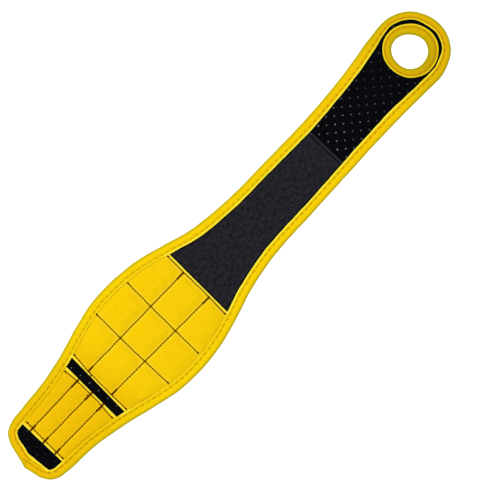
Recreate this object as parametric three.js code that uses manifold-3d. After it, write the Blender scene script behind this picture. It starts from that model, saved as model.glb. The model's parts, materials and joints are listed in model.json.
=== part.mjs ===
// Magnetic wristband laid flat, wrist side down: a padded band with a thumb loop at one end and a
// hook-and-loop tail at the other. Millimetres, +Z up, +X from the tail to the thumb loop.
// The cloth is cut into short stiff lengths, which turn on hinge lines along the wrist side.
import * as THREE from "three";
import { mergeVertices } from "three/addons/utils/BufferGeometryUtils.js";
import Module from "manifold-3d";

const wasm = await Module();
wasm.setup();

// Heights above the surface that the band lies on
const neopreneBottom = 0.85;
const neopreneTop = 3.15;
const sewnGap = 0.15;
const onNeoprene = neopreneTop + sewnGap;
const seamTop = 3.9;
const magnetCellTop = 6.3;
const tailChannelTop = 5.4;
const coverThickness = 0.8;
const loopPatchThickness = 1.0;
const hookPatchBottom = 0.05;
const hookPatchTop = 1.25;

// The edge binding: a folded tape that grips the edge of the neoprene
const bindingWidth = 7.7;
const bindingWideAtTail = 1.4;
const bindingFold = 2.2;
const slotDepth = 1.6;
const sideGap = 0.3;
const neopreneInset = slotDepth + sideGap;
const bindingSection = [
  [bindingWidth, 3.45],
  [bindingWidth, 4.05],
  [5.3, 3.8],
  [2.9, 4.2],
  [1.0, 3.7],
  [0.1, 2.6],
  [0.1, 1.5],
  [1.0, 0.35],
  [bindingFold, 0],
  [bindingWidth, 0],
  [bindingWidth, 0.55],
  [slotDepth, 0.55],
  [slotDepth, 3.45],
];

// Thumb loop
const loopCentre = new THREE.Vector2(420.5, 1.0);
const loopRadius = 29.5;
const loopBindingWidth = 7.15;
const loopBindingLean = 1.15;
const thumbHoleCentre = new THREE.Vector2(420.7, 1.35);
const thumbHoleRadius = 13.1;
const thumbBindingWidth = 7.4;

// How far from its seams a cell has risen to its full height
const magnetCellRun = 3.4;
const tailChannelRun = 2.2;

// Stations along the length, from the tail end
const tabHinge = 23.2;
const tailCoverEnds = [24.2, 75.7];
const tailCoverSeams = [26.2, 73.5];
const tailHinge = 79.5;
const magnetCoverEnds = [82.9, 188.2];
const magnetSeams = [85.0, 119.0, 151.0, 186.2];
const strapStart = 190.5;
const loopPatchEnd = 327;
const thumbLoopStart = 399;
const loopPatchLengths = 4;
const plainLengths = 3;

// Seams along the length: each is a straight line, given as y at the tail end and its slope
const magnetLines = [
  { y: -9.6, slope: -0.031 },
  { y: 13.15, slope: -0.0125 },
];
const tailLines = [
  { y: -11.5, slope: -0.012 },
  { y: 0.3, slope: -0.008 },
  { y: 13, slope: 0 },
];

// Hook patch, under the tail
const hookPatch = { start: 28, stop: 72, low: -18.5, high: 19 };

// Magnets
const magnetRadius = 8;
const magnetThickness = 1.5;
const barMagnetSize = [32, 5, 1.0];

// How far the band bends backwards at a hinge, which sets the slant of the ends that meet there
const backwardBend = THREE.MathUtils.degToRad(22);
const hingeHalfGap = 0.15;
const endSlant = Math.tan(backwardBend / 2);

// Middle of the band's outline, which goes over the origin
const middle = new THREE.Vector2(225, -1.29);

// How finely the pieces are cut: the longest step along each, and the sides of a round one
const sheetStep = 8;
const bindingStep = 7;
const endStep = 3;
const tailBindingStep = 4;
const loopBindingStep = 4.6;
const endSheetCorners = 70;
const roundSides = 36;

// The outline, counter-clockwise from the tail's tip
const tailTip = [[0, -1.5], [2.0, -13.0], [7.6, -22.6]];
const rightSide = [
  [20, -27.6],
  [45, -29.5],
  [75, -35.3],
  [105, -44.0],
  [137, -48.5],
  [168, -46.3],
  [200, -37.8],
  [235, -30.4],
  [285, -28.6],
  [340, -27.3],
  [385, -27.5],
];
const leftSide = [
  [390, 27.4],
  [355, 24.0],
  [310, 23.3],
  [265, 24.0],
  [230, 26.1],
  [200, 32.7],
  [168, 42.6],
  [137, 46.0],
  [105, 42.0],
  [75, 34.1],
  [45, 30.1],
  [20, 28.1],
];
const tailCorner = [[8.6, 22.4], [3.6, 10.5]];

function loopArc() {
  const points = [];
  for (let degrees = -90; degrees <= 90; degrees += 30) {
    const angle = THREE.MathUtils.degToRad(degrees);
    points.push([
      loopCentre.x + loopRadius * Math.cos(angle),
      loopCentre.y + loopRadius * Math.sin(angle),
    ]);
  }
  return points;
}

const outlinePoints = [...tailTip, ...rightSide, ...loopArc(), ...leftSide, ...tailCorner];
const outline = new THREE.CatmullRomCurve3(
  outlinePoints.map(([x, y]) => new THREE.Vector3(x, y, 0)),
  true,
  "catmullrom",
  0.5,
);
const rim = outline.getPoints(1400).slice(0, -1);

// A place on the rim by its running number, which may lie between two points and past the last one
function rimFrame(number) {
  const count = rim.length;
  const whole = Math.floor(number);
  const from = rim[((whole % count) + count) % count];
  const to = rim[(((whole + 1) % count) + count) % count];
  const point = from.clone().lerp(to, number - whole);
  const along = to.clone().sub(from).normalize();
  return { point, along, inward: new THREE.Vector3(-along.y, along.x, 0) };
}

// Where the rim passes a station: the right side runs towards +X and the left side back again
function rimNumberAt(side, x) {
  for (let i = 0; i < rim.length; i++) {
    const a = rim[i].x;
    const b = rim[(i + 1) % rim.length].x;
    const passes = side < 0 ? a <= x && b > x : a >= x && b < x;
    if (passes) return i + (x - a) / (b - a);
  }
  throw new Error("no edge at station " + x);
}

const edgeCache = new Map();
function edgeAt(side, x) {
  const key = side + ":" + x.toFixed(5);
  if (!edgeCache.has(key)) {
    const { point, along } = rimFrame(rimNumberAt(side, x));
    const stretch = 1 / Math.abs(along.x);
    edgeCache.set(key, { y: point.y, stretch, width: bindingWidthAt(point) });
  }
  return edgeCache.get(key);
}

// The tape is wider where it turns round the tail, and its width changes round the thumb loop
function bindingWidthAt(point) {
  const towardsTail = 1 - THREE.MathUtils.smoothstep(point.x, 4, 22);
  const towardsLoop = THREE.MathUtils.smoothstep(point.x, 380, 425);
  const plain = bindingWidth + bindingWideAtTail * towardsTail;
  const lean = (loopBindingLean * (point.y - loopCentre.y)) / loopRadius;
  return THREE.MathUtils.lerp(plain, loopBindingWidth - lean, towardsLoop);
}

// A distance in from the rim, at a width of tape: the fold keeps its size and the flat part stretches
function insetOf(distance, width) {
  if (distance <= bindingFold) return distance;
  return bindingFold + ((distance - bindingFold) * (width - bindingFold)) / (bindingWidth - bindingFold);
}

function yInside(side, x, distance) {
  const edge = edgeAt(side, x);
  return edge.y - side * distance * edge.stretch;
}

function yInsideBinding(side, x, clearance) {
  return yInside(side, x, edgeAt(side, x).width + clearance);
}

// The x of a point at height z on the slanted end of a length that stops at a hinge
function hingeFace(hinge, towards, z) {
  return hinge + towards * (hingeHalfGap + z * endSlant);
}

// Meshes

const materials = {
  binding: new THREE.MeshStandardMaterial({ color: 0xf2c400, roughness: 0.8 }),
  cover: new THREE.MeshStandardMaterial({ color: 0xf7cd00, roughness: 0.85 }),
  neoprene: new THREE.MeshStandardMaterial({ color: 0x0a0a0d, roughness: 0.8 }),
  loopPatch: new THREE.MeshStandardMaterial({ color: 0x24232a, roughness: 1 }),
  hookPatch: new THREE.MeshStandardMaterial({ color: 0x101012, roughness: 0.6 }),
  magnet: new THREE.MeshStandardMaterial({ color: 0xb9bcc0, roughness: 0.3, metalness: 1 }),
};

const band = new THREE.Group();

function enclosedVolume(vertices, triangles) {
  let total = 0;
  const corner = (i) => new THREE.Vector3(...vertices[i]);
  for (const [a, b, c] of triangles) {
    total += corner(a).dot(corner(b).cross(corner(c))) / 6;
  }
  return total;
}

function closedGeometry(vertices, triangles) {
  const outward = enclosedVolume(vertices, triangles) > 0;
  const faces = outward ? triangles : triangles.map(([a, b, c]) => [a, c, b]);
  const geometry = new THREE.BufferGeometry();
  geometry.setAttribute("position", new THREE.Float32BufferAttribute(vertices.flat(), 3));
  geometry.setIndex(faces.flat());
  geometry.computeVertexNormals();
  return geometry;
}

function addMesh(name, geometry, material) {
  const mesh = new THREE.Mesh(geometry, material);
  mesh.name = name;
  band.add(mesh);
  return mesh;
}

// A skin over rings of matching points, with both ends closed
function loft(rings, section) {
  const size = section.length;
  const vertices = rings.flat();
  const triangles = [];
  for (let ring = 0; ring + 1 < rings.length; ring++) {
    for (let i = 0; i < size; i++) {
      const next = (i + 1) % size;
      const a = ring * size + i;
      const b = ring * size + next;
      triangles.push([a, b, b + size], [a, b + size, a + size]);
    }
  }
  const contour = section.map(([x, y]) => new THREE.Vector2(x, y));
  const last = (rings.length - 1) * size;
  for (const [a, b, c] of THREE.ShapeUtils.triangulateShape(contour, [])) {
    const caps = THREE.ShapeUtils.isClockWise(contour) ? [[a, b, c]] : [[a, c, b]];
    for (const [p, q, r] of caps) {
      triangles.push([p, q, r], [last + p, last + r, last + q]);
    }
  }
  return closedGeometry(vertices, triangles);
}

// A closed plate between two sheets of points: place(i, j, top) gives a corner of either sheet
function plate(columns, rows, place) {
  const vertices = [];
  const triangles = [];
  const stride = rows + 1;
  const sheet = (columns + 1) * stride;
  for (const top of [false, true]) {
    for (let i = 0; i <= columns; i++) {
      for (let j = 0; j <= rows; j++) vertices.push(place(i, j, top));
    }
  }
  const number = (i, j) => i * stride + j;
  for (let i = 0; i < columns; i++) {
    for (let j = 0; j < rows; j++) {
      const [a, b, c, d] = [number(i, j), number(i + 1, j), number(i + 1, j + 1), number(i, j + 1)];
      triangles.push([a, c, b], [a, d, c]);
      triangles.push([sheet + a, sheet + b, sheet + c], [sheet + a, sheet + c, sheet + d]);
    }
  }
  const edge = [];
  for (let i = 0; i < columns; i++) edge.push(number(i, 0));
  for (let j = 0; j < rows; j++) edge.push(number(columns, j));
  for (let i = columns; i > 0; i--) edge.push(number(i, rows));
  for (let j = rows; j > 0; j--) edge.push(number(0, j));
  edge.forEach((a, i) => {
    const b = edge[(i + 1) % edge.length];
    triangles.push([a, b, sheet + b], [a, sheet + b, sheet + a]);
  });
  return closedGeometry(vertices, triangles);
}

// Numbers spread evenly from one value to another, no further apart than a step
function spread(from, to, step) {
  const count = Math.max(1, Math.round(Math.abs(to - from) / step));
  return Array.from({ length: count + 1 }, (_, i) => from + ((to - from) * i) / count);
}

// The two slanted ends of a length between hinges, as the x of each station at a height
function stationX(stations, i, z, ends) {
  if (i === 0 && ends.start !== undefined) return hingeFace(ends.start, 1, z);
  if (i === stations.length - 1 && ends.stop !== undefined) return hingeFace(ends.stop, -1, z);
  return stations[i];
}

// Neoprene under one length of the band
function neopreneLength(start, stop) {
  const stations = spread(start, stop, sheetStep);
  return plate(stations.length - 1, 1, (i, j, top) => {
    const z = top ? neopreneTop : neopreneBottom;
    const x = stationX(stations, i, z, { start, stop });
    return [x, yInside(j ? 1 : -1, x, neopreneInset), z];
  });
}

// Binding along one side of one length
function bindingRing(side, xOf) {
  return bindingSection.map(([distance, z]) => {
    const x = xOf(z);
    return [x, yInside(side, x, insetOf(distance, edgeAt(side, x).width)), z];
  });
}

function bindingLength(side, start, stop) {
  const stations = spread(start, stop, bindingStep);
  const rings = stations.map((_, i) =>
    bindingRing(side, (z) => stationX(stations, i, z, { start, stop })),
  );
  return loft(rings, bindingSection);
}

// Binding round an end, from one side of a hinge to the other
function bindingEnd(hinge, towards, step) {
  const sides = towards > 0 ? [-1, 1] : [1, -1];
  const clearOfHinge = hinge + towards * step;
  const first = rimNumberAt(sides[0], clearOfHinge);
  let last = rimNumberAt(sides[1], clearOfHinge);
  if (last < first) last += rim.length;
  let length = 0;
  for (let n = first; n < last; n++) {
    length += rimFrame(n).point.distanceTo(rimFrame(Math.min(n + 1, last)).point);
  }
  const numbers = spread(first, last, ((last - first) * step) / length);
  const rings = numbers.map((n) => {
    const { point, inward } = rimFrame(n);
    return bindingSection.map(([distance, z]) => {
      const inset = insetOf(distance, bindingWidthAt(point));
      return [point.x + inward.x * inset, point.y + inward.y * inset, z];
    });
  });
  const onHinge = (side) => bindingRing(side, (z) => hingeFace(hinge, towards, z));
  return loft([onHinge(sides[0]), ...rings, onHinge(sides[1])], bindingSection);
}

// Neoprene of an end: the outline drawn in, with its straight end slanted at the hinge
function neopreneEnd(hinge, towards, hole) {
  const sides = towards > 0 ? [-1, 1] : [1, -1];
  const first = rimNumberAt(sides[0], hinge + towards * endStep);
  let last = rimNumberAt(sides[1], hinge + towards * endStep);
  if (last < first) last += rim.length;
  const corners = [new THREE.Vector2(hinge, yInside(sides[0], hinge, neopreneInset))];
  for (const n of spread(first, last, rim.length / endSheetCorners)) {
    const { point, inward } = rimFrame(n);
    corners.push(new THREE.Vector2(
      point.x + inward.x * neopreneInset,
      point.y + inward.y * neopreneInset,
    ));
  }
  corners.push(new THREE.Vector2(hinge, yInside(sides[1], hinge, neopreneInset)));
  const shape = new THREE.Shape(corners);
  if (hole) shape.holes.push(hole);
  const depth = neopreneTop - neopreneBottom;
  const extruded = new THREE.ExtrudeGeometry(shape, {
    depth,
    bevelEnabled: false,
    curveSegments: roundSides / 2,
  });
  const position = extruded.getAttribute("position");
  for (let i = 0; i < position.count; i++) {
    const z = position.getZ(i) + neopreneBottom;
    position.setZ(i, z);
    const onHinge = Math.abs(position.getX(i) - hinge) < 1e-3;
    if (onHinge) position.setX(i, hingeFace(hinge, towards, z));
  }
  return extruded;
}

// Quilted covers

// How far a cell has risen at a distance from its seam
function rise(distance, run) {
  return THREE.MathUtils.smoothstep(distance, 0, run);
}

// Grid lines across a cell: close together near its seams, where the cloth rises
const riseShares = [0, 0.36, 0.7, 1];
function cellLines(from, to, run) {
  const near = riseShares.map((share) => share * run);
  return [...near.map((d) => from + d), ...near.reverse().map((d) => to - d)];
}

// The same along the band, with more lines over the flat of the cell so that its sides follow the rim
function cellStations(from, to, run) {
  const lines = cellLines(from, to, run);
  const half = lines.length / 2;
  const flat = spread(lines[half - 1], lines[half], sheetStep).slice(1, -1);
  return [...lines.slice(0, half), ...flat, ...lines.slice(half)];
}

// Where the cells of a cover begin and end across the band, at one station
function cellBounds(lines, x) {
  return [
    yInsideBinding(-1, x, sideGap),
    ...lines.map((line) => line.y + line.slope * x),
    yInsideBinding(1, x, sideGap),
  ];
}

// A hemmed cover with a puffed cell between each pair of seams along it and across it
function quiltedCover({ start, stop, seams, lines, ends, top, run }) {
  const stations = [start];
  seams.slice(0, -1).forEach((seam, i) => stations.push(...cellStations(seam, seams[i + 1], run)));
  stations.push(stop);
  const unique = stations.filter((x, i) => i === 0 || x - stations[i - 1] > 1e-6);
  const cells = lines.length + 1;
  const perCell = 2 * riseShares.length - 1;
  return plate(unique.length - 1, cells * perCell, (i, j, isTop) => {
    const slantHeight = isTop ? seamTop : onNeoprene;
    const x = stationX(unique, i, slantHeight, ends);
    const bounds = cellBounds(lines, x);
    const cell = Math.min(Math.floor(j / perCell), cells - 1);
    const y = cellLines(bounds[cell], bounds[cell + 1], run)[j - cell * perCell];
    const toSeam = Math.min(...seams.map((seam) => Math.abs(seam - x)));
    const toLine = Math.min(...bounds.map((bound) => Math.abs(bound - y)));
    const inHem = x < seams[0] || x > seams[seams.length - 1];
    const lift = inHem ? 0 : rise(toSeam, run) * rise(toLine, run);
    const height = seamTop + (top - seamTop) * lift;
    return [x, y, isTop ? height : Math.max(onNeoprene, height - coverThickness)];
  });
}

// A flat patch sewn between the two bindings
function loopPatchLength(start, stop, ends) {
  const stations = spread(start, stop, sheetStep);
  const clearance = 0.5;
  return plate(stations.length - 1, 1, (i, j, top) => {
    const z = top ? onNeoprene + loopPatchThickness : onNeoprene;
    const x = stationX(stations, i, z, ends);
    return [x, yInsideBinding(j ? 1 : -1, x, clearance), z];
  });
}

// The hook patch lies in a hollow pressed into the wrist side of the tail
function hookPatchBox(grow, bottom, top) {
  const { start, stop, low, high } = hookPatch;
  const box = new THREE.BoxGeometry(stop - start + 2 * grow, high - low + 2 * grow, top - bottom);
  return box.translate((start + stop) / 2, (low + high) / 2, (bottom + top) / 2);
}

function solidOf(geometry) {
  const bare = geometry.clone();
  bare.deleteAttribute("normal");
  bare.deleteAttribute("uv");
  const merged = mergeVertices(bare, 1e-4);
  return new wasm.Manifold(new wasm.Mesh({
    numProp: 3,
    vertProperties: merged.getAttribute("position").array,
    triVerts: new Uint32Array(merged.index.array),
  }));
}

function geometryOf(solid) {
  const { vertProperties, triVerts } = solid.getMesh();
  const geometry = new THREE.BufferGeometry();
  geometry.setAttribute("position", new THREE.BufferAttribute(vertProperties, 3));
  geometry.setIndex(new THREE.BufferAttribute(triVerts, 1));
  geometry.computeVertexNormals();
  return geometry;
}

// Sub-parts

function addLength(name, start, stop) {
  addMesh(name + "_base", neopreneLength(start, stop), materials.neoprene);
  addMesh(name + "_binding_left", bindingLength(1, start, stop), materials.binding);
  addMesh(name + "_binding_right", bindingLength(-1, start, stop), materials.binding);
}

function addTail() {
  addMesh("tail_tab_base", neopreneEnd(tabHinge, -1), materials.neoprene);
  addMesh("tail_tab_binding", bindingEnd(tabHinge, -1, tailBindingStep), materials.binding);

  addLength("tail", tabHinge, tailHinge);
  const base = band.getObjectByName("tail_base");
  const hollow = hookPatchBox(sideGap, hookPatchBottom, hookPatchTop + sideGap);
  base.geometry = geometryOf(solidOf(base.geometry).subtract(solidOf(hollow)));
  addMesh("tail_hook_patch", hookPatchBox(0, hookPatchBottom, hookPatchTop), materials.hookPatch);

  addMesh("tail_cover", quiltedCover({
    start: tailCoverEnds[0],
    stop: tailCoverEnds[1],
    seams: tailCoverSeams,
    lines: tailLines,
    ends: {},
    top: tailChannelTop,
    run: tailChannelRun,
  }), materials.cover);

  addBarMagnets();
}

// Each bar lies along the middle of its channel, which narrows towards the tail
function addBarMagnets() {
  const x = (tailCoverSeams[0] + tailCoverSeams[1]) / 2;
  const [length, , thickness] = barMagnetSize;
  const middles = (station) => {
    const bounds = cellBounds(tailLines, station);
    return bounds.slice(1).map((bound, i) => (bound + bounds[i]) / 2);
  };
  const [here, back, ahead] = [x, x - length / 2, x + length / 2].map(middles);
  here.forEach((y, channel) => {
    const bar = addMesh(
      "tail_bar_magnet_" + (channel + 1),
      new THREE.BoxGeometry(...barMagnetSize),
      materials.magnet,
    );
    bar.position.set(x, y, onNeoprene + thickness / 2);
    bar.rotation.z = Math.atan2(ahead[channel] - back[channel], length);
  });
}

function addMagnetRows() {
  const hinges = [tailHinge, magnetSeams[1], magnetSeams[2], strapStart];
  for (let row = 0; row < 3; row++) {
    const name = "row_" + (row + 1);
    addLength(name, hinges[row], hinges[row + 1]);
    const first = row === 0;
    const last = row === 2;
    addMesh(name + "_cover", quiltedCover({
      start: first ? magnetCoverEnds[0] : hinges[row],
      stop: last ? magnetCoverEnds[1] : hinges[row + 1],
      seams: [magnetSeams[row], magnetSeams[row + 1]],
      lines: magnetLines,
      ends: {
        start: first ? undefined : hinges[row],
        stop: last ? undefined : hinges[row + 1],
      },
      top: magnetCellTop,
      run: magnetCellRun,
    }), materials.cover);
    addRowMagnets(name, row);
  }
}

function addRowMagnets(name, row) {
  const x = (magnetSeams[row] + magnetSeams[row + 1]) / 2;
  const bounds = cellBounds(magnetLines, x);
  for (let cell = 0; cell < 3; cell++) {
    const disc = new THREE.CylinderGeometry(magnetRadius, magnetRadius, magnetThickness, roundSides);
    disc.rotateX(Math.PI / 2);
    const magnet = addMesh(name + "_magnet_" + (cell + 1), disc, materials.magnet);
    magnet.position.set(x, (bounds[cell] + bounds[cell + 1]) / 2, onNeoprene + magnetThickness / 2);
  }
}

function addStrap() {
  const hinges = [
    ...spread(strapStart, loopPatchEnd, (loopPatchEnd - strapStart) / loopPatchLengths),
    ...spread(loopPatchEnd, thumbLoopStart, (thumbLoopStart - loopPatchEnd) / plainLengths).slice(1),
  ];
  for (let i = 0; i + 1 < hinges.length; i++) {
    const name = "strap_" + (i + 1);
    addLength(name, hinges[i], hinges[i + 1]);
    if (i < loopPatchLengths) {
      addMesh(
        name + "_loop_patch",
        loopPatchLength(hinges[i], hinges[i + 1], { start: hinges[i], stop: hinges[i + 1] }),
        materials.loopPatch,
      );
    }
  }
}

function addThumbLoop() {
  const hole = new THREE.Path();
  hole.absarc(thumbHoleCentre.x, thumbHoleCentre.y, thumbHoleRadius + neopreneInset, 0, 2 * Math.PI);
  addMesh("thumb_loop_base", neopreneEnd(thumbLoopStart, 1, hole), materials.neoprene);
  addMesh("thumb_loop_binding", bindingEnd(thumbLoopStart, 1, loopBindingStep), materials.binding);

  const profile = bindingSection.map(
    ([distance, z]) => new THREE.Vector2(thumbHoleRadius + insetOf(distance, thumbBindingWidth), z),
  );
  const ring = new THREE.LatheGeometry([...profile, profile[0]], roundSides);
  const binding = addMesh("thumb_hole_binding", ring.rotateX(Math.PI / 2), materials.binding);
  binding.position.set(thumbHoleCentre.x, thumbHoleCentre.y, 0);
}

addTail();
addMagnetRows();
addStrap();
addThumbLoop();

band.position.set(-middle.x, -middle.y, 0);

const wristband = new THREE.Group();
wristband.add(band);

export default wristband;
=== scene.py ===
# Looks of the magnetic wristband, made round the imported frame. The cloth, tape and thread are each one
# run, parted halfway between the hinge lines, so that each part lies across one hinge.
import json
import math
import random
from collections import namedtuple
from functools import partial

import bpy
import numpy as np
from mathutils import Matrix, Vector
from mathutils.geometry import delaunay_2d_cdt

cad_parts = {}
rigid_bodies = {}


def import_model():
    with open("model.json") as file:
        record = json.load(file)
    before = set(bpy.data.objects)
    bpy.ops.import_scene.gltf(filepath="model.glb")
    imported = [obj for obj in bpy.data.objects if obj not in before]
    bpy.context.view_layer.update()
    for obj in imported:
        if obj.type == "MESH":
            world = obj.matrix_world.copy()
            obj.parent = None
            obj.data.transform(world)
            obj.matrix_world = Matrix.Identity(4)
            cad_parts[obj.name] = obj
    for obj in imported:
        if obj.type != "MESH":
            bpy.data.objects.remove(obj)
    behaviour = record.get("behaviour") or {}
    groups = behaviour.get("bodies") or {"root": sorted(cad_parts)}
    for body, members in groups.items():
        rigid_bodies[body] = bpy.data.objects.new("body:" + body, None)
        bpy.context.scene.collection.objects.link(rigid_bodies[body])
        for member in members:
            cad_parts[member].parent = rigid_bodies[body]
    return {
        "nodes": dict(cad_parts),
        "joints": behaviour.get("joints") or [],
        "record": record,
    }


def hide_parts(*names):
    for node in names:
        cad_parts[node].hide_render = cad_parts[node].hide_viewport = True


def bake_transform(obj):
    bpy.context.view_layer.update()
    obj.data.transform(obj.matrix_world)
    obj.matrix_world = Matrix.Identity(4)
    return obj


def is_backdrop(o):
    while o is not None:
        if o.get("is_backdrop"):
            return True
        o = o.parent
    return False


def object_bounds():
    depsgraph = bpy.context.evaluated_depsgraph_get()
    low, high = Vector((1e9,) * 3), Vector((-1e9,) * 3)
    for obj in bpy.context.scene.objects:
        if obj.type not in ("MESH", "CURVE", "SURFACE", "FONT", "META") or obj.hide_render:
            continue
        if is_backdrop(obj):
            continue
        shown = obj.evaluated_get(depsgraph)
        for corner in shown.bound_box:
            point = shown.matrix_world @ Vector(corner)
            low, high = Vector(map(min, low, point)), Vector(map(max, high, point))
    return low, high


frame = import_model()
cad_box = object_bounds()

# Lengths are millimetres of the band laid flat, from the tail's end along x. to_row turns them into
# metres of the frame.
MM = 0.001
MIDDLE = np.array([225.0, -1.29, 0.0])


def to_row(points):
    return (np.asarray(points, float) - MIDDLE) * MM


# Heights
NEOPRENE_BOTTOM = 0.85
NEOPRENE_TOP = 3.15
SEWN_BOTTOM = 3.22
SEAM_HEIGHT = 3.78
MAGNET_CELL_HEIGHT = 5.75
TAIL_CHANNEL_HEIGHT = 5.1
LOOP_PATCH_TOP = 4.2
TAPE_SEAM_TOP = 3.74
TAPE_SEAM_BOTTOM = 0.26
HOOK_TAPE_TOP = 0.84
HOOK_TAPE_BOTTOM = 0.42

# Edge binding. Its section is given for the plain width, as distance in from the folded edge and height.
# Wider or narrower tape stretches past the fold.
SECTION_WIDTH = 7.7
TAPE_FOLD = 2.2
TAPE_STITCH = 5.45
TAPE_THICKNESS = 0.42
TAPE_STEP = 0.8
NEOPRENE_INSET = 1.9
TAPE_SKIN = [
    (7.70, 3.44), (7.78, 3.80), (7.50, 4.12), (6.80, 4.24), (6.00, 4.04), (5.30, 3.72),
    (4.70, 3.98), (3.90, 4.20), (2.80, 4.26), (1.70, 4.06), (0.80, 3.50), (0.20, 2.75),
    (0.00, 2.00), (0.20, 1.25), (0.75, 0.55), (1.50, 0.14), (2.40, 0.00), (3.90, 0.00),
    (4.70, 0.08), (5.30, 0.26), (6.00, 0.08), (6.80, 0.00), (7.50, 0.06), (7.75, 0.36), (7.70, 0.62),
]

# Places on the section: each a middle and a width, or where it begins and where it is full
STITCH_GROOVE = (TAPE_STITCH, 0.6)
# Where painted shade darkens the stitch groove
STITCH_GROOVE_SHADE = (TAPE_STITCH + 0.3, 0.6)
TAPE_CROWN = (3.0, 1.6)
TAPE_LIP = (6.5, 7.5)
TAPE_EDGE = (0.6, 2.2)

# The tape's width, by the place along the rim from the tail's tip: the tail's right corner, the right
# side, the thumb loop, the left side and the tail's left corner
TAPE_WIDTHS = [
    (0, 10.0), (8, 9.0), (16, 8.3), (24, 7.5), (32, 8.0), (40, 8.4), (60, 8.35),
    (200, 8.35), (240, 8.05), (292, 7.95), (318, 7.8), (340, 8.25), (372, 8.5), (400, 8.8), (424, 8.0),
    (442, 8.0), (456, 7.4), (466, 6.5), (480, 6.55), (494, 6.95), (504, 6.2), (532, 6.0), (544, 7.1),
    (552, 8.2), (580, 8.4), (600, 8.1), (624, 8.55), (650, 8.15), (685, 7.75), (730, 8.2), (750, 8.0),
    (925, 8.0), (936, 7.8), (944, 6.8), (956, 7.4), (964, 8.1), (970, 7.8), (978, 10.0),
]

# Thumb hole. Its tape is sewn on slightly oval, and a little fuller on three sides.
THUMB_HOLE = np.array([419.9, 1.25])
THUMB_HOLE_RADIUS = 13.1
THUMB_HOLE_OVAL = 0.5
THUMB_HOLE_OVAL_ANGLE = math.radians(-63)
THUMB_HOLE_CORNER = 0.27
THUMB_HOLE_CORNER_ANGLE = math.radians(-12)
THUMB_TAPE_RADIUS = 13.0
THUMB_TAPE_WIDTH = 7.3
THUMB_TAPE_LEAN = 0.75
THUMB_TAPE_STEPS = 150
# The ring's painted lip highlight, the share of its tints it keeps, painted shade all round it, and more
# painted shade on the side turned from the lamp, greatest at an angle
THUMB_TAPE_LIP_HIGHLIGHT = 1.15
THUMB_TAPE_TINT = 0.8
THUMB_TAPE_SHADE = 0.12
THUMB_TAPE_AWAY_SHADE = 0.25
THUMB_TAPE_AWAY_ANGLE = math.radians(295)

# The tape's two ends lap at the tail's tip. The upper one runs straight on past the tip to the left side,
# and is narrower over the lap, by place along the rim, so that the lower one's edge shows beside it.
LAP_OVER = 6.0
LAP_UNDER = 26.0
LAP_STRAIGHT = 3.0
LAP_FADE = 26.0
LAP_RISE = 0.45
LAP_WIDTHS = [(-6, 2.7), (0, 7.1), (10, 6.9), (16, 7.05), (24, 7.5)]
LAP_TAPER = 1.2
LAP_TAPER_SPAN = (14, 24)

# The outline, counter-clockwise: tail's tip, right side, thumb loop, left side, tail's left corner
OUTLINE = [
    (0.5, -2.3), (0.9, -4.6), (1.9, -9.4), (3.2, -16.1), (6.8, -22.4), (12.4, -26.2),
    (20.1, -27.7), (45, -29.5), (75, -35.2), (100, -42), (121, -46.9), (143, -48.3), (168, -45.9),
    (188.1, -41.1),
    (209, -35), (235, -30.3), (285, -28.5), (318, -27.9), (350, -27.3), (385, -27.5), (405, -28.2),
    (428.1, -27.5), (441.7, -20.2), (449.3, -6.7), (448.8, 8.6), (441.3, 21.8), (428.1, 29.5),
    (406, 29.6), (385, 26.7), (350, 23.6), (318, 22.8), (285, 23.3), (258, 23.6), (235, 25.4), (213, 28.7),
    (190, 35.8), (168, 42.2), (143, 45.3), (122, 44.9), (103, 41.2), (80, 35.3), (55, 30.8), (32, 29.1),
    (18.4, 27.6), (11.4, 24.6), (6.9, 18.8), (4.5, 12.5), (3.2, 7.2), (1.9, 2.2), (1.1, -0.5),
]
RIM_STEP = 0.25

# Covers. Seams across the band are x along y, and those along it are y along x. The latter run from one
# station to another, with tacks at their ends.
TAIL_COVER = {
    "folds": [[(23.0, -26), (23.2, 26)], [(74.6, -27), (76.1, 27)]],
    "hems": [[(25.2, -19), (25.5, 0), (26.4, 19.5)],
             [(72.0, -25), (72.1, -20), (73.4, -10), (73.8, 0), (74.0, 15), (73.0, 25)]],
    "across": [],
    "along": [[(20, 13.0), (80, 13.0)], [(20, 0.1), (80, -0.9)], [(20, -11.9), (80, -12.9)]],
    "lines": (23.2, 76.1),
    "tacks": [(23.4, 29.0), (67.5, 75.4)],
    "tack_rows": (-0.32, 0.0, 0.32),
    "height": TAIL_CHANNEL_HEIGHT,
    "run": 5.0,
    "rows": 62,
}
MAGNET_COVER = {
    "folds": [[(81.5, -28), (83.9, 27)], [(187.2, -32), (188.1, 0), (188.9, 28)]],
    "hems": [[(83.8, -28), (83.9, -12), (84.3, 0), (85.0, 15), (86.7, 28.5)],
             [(184.9, -33), (185.7, -20), (186.3, -5), (186.3, 10), (187.0, 28)]],
    "across": [[(119.0, -37.5), (118.8, 0), (119.7, 37)],
               [(150.3, -38.5), (150.8, -10), (151.3, 11), (152.3, 36)]],
    "along": [[(84, 12.0), (187, 10.8)], [(82, -12.3), (188, -15.5)]],
    "lines": (84.3, 186.3),
    "tacks": [(84.2, 89.5), (179.0, 186.5)],
    "tack_rows": (-0.27, 0.27),
    "height": MAGNET_CELL_HEIGHT,
    "run": 7.5,
    "rows": 82,
}
COVER_THICKNESS = 0.5
COVER_MARGIN = 0.04
HEM_ROLL = 0.7
MAGNET_CLEARANCE = 0.15
MAGNET_SLOPE = 2.5
CLOTH_STEP = 1.1
CLOTH_SCALE = 20
CLOTH_FRAMES = 24
CLOTH_EXCESS = 0.02
CLOTH_LIFT = 2.0
CLOTH_CAP = 0.7
CLOTH_SETTINGS = {
    "quality": 6, "mass": 0.2, "tension_stiffness": 25, "compression_stiffness": 25,
    "shear_stiffness": 8, "bending_stiffness": 1.0, "shrink_min": -CLOTH_EXCESS,
    "vertex_group_mass": "sewn",
}

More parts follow.
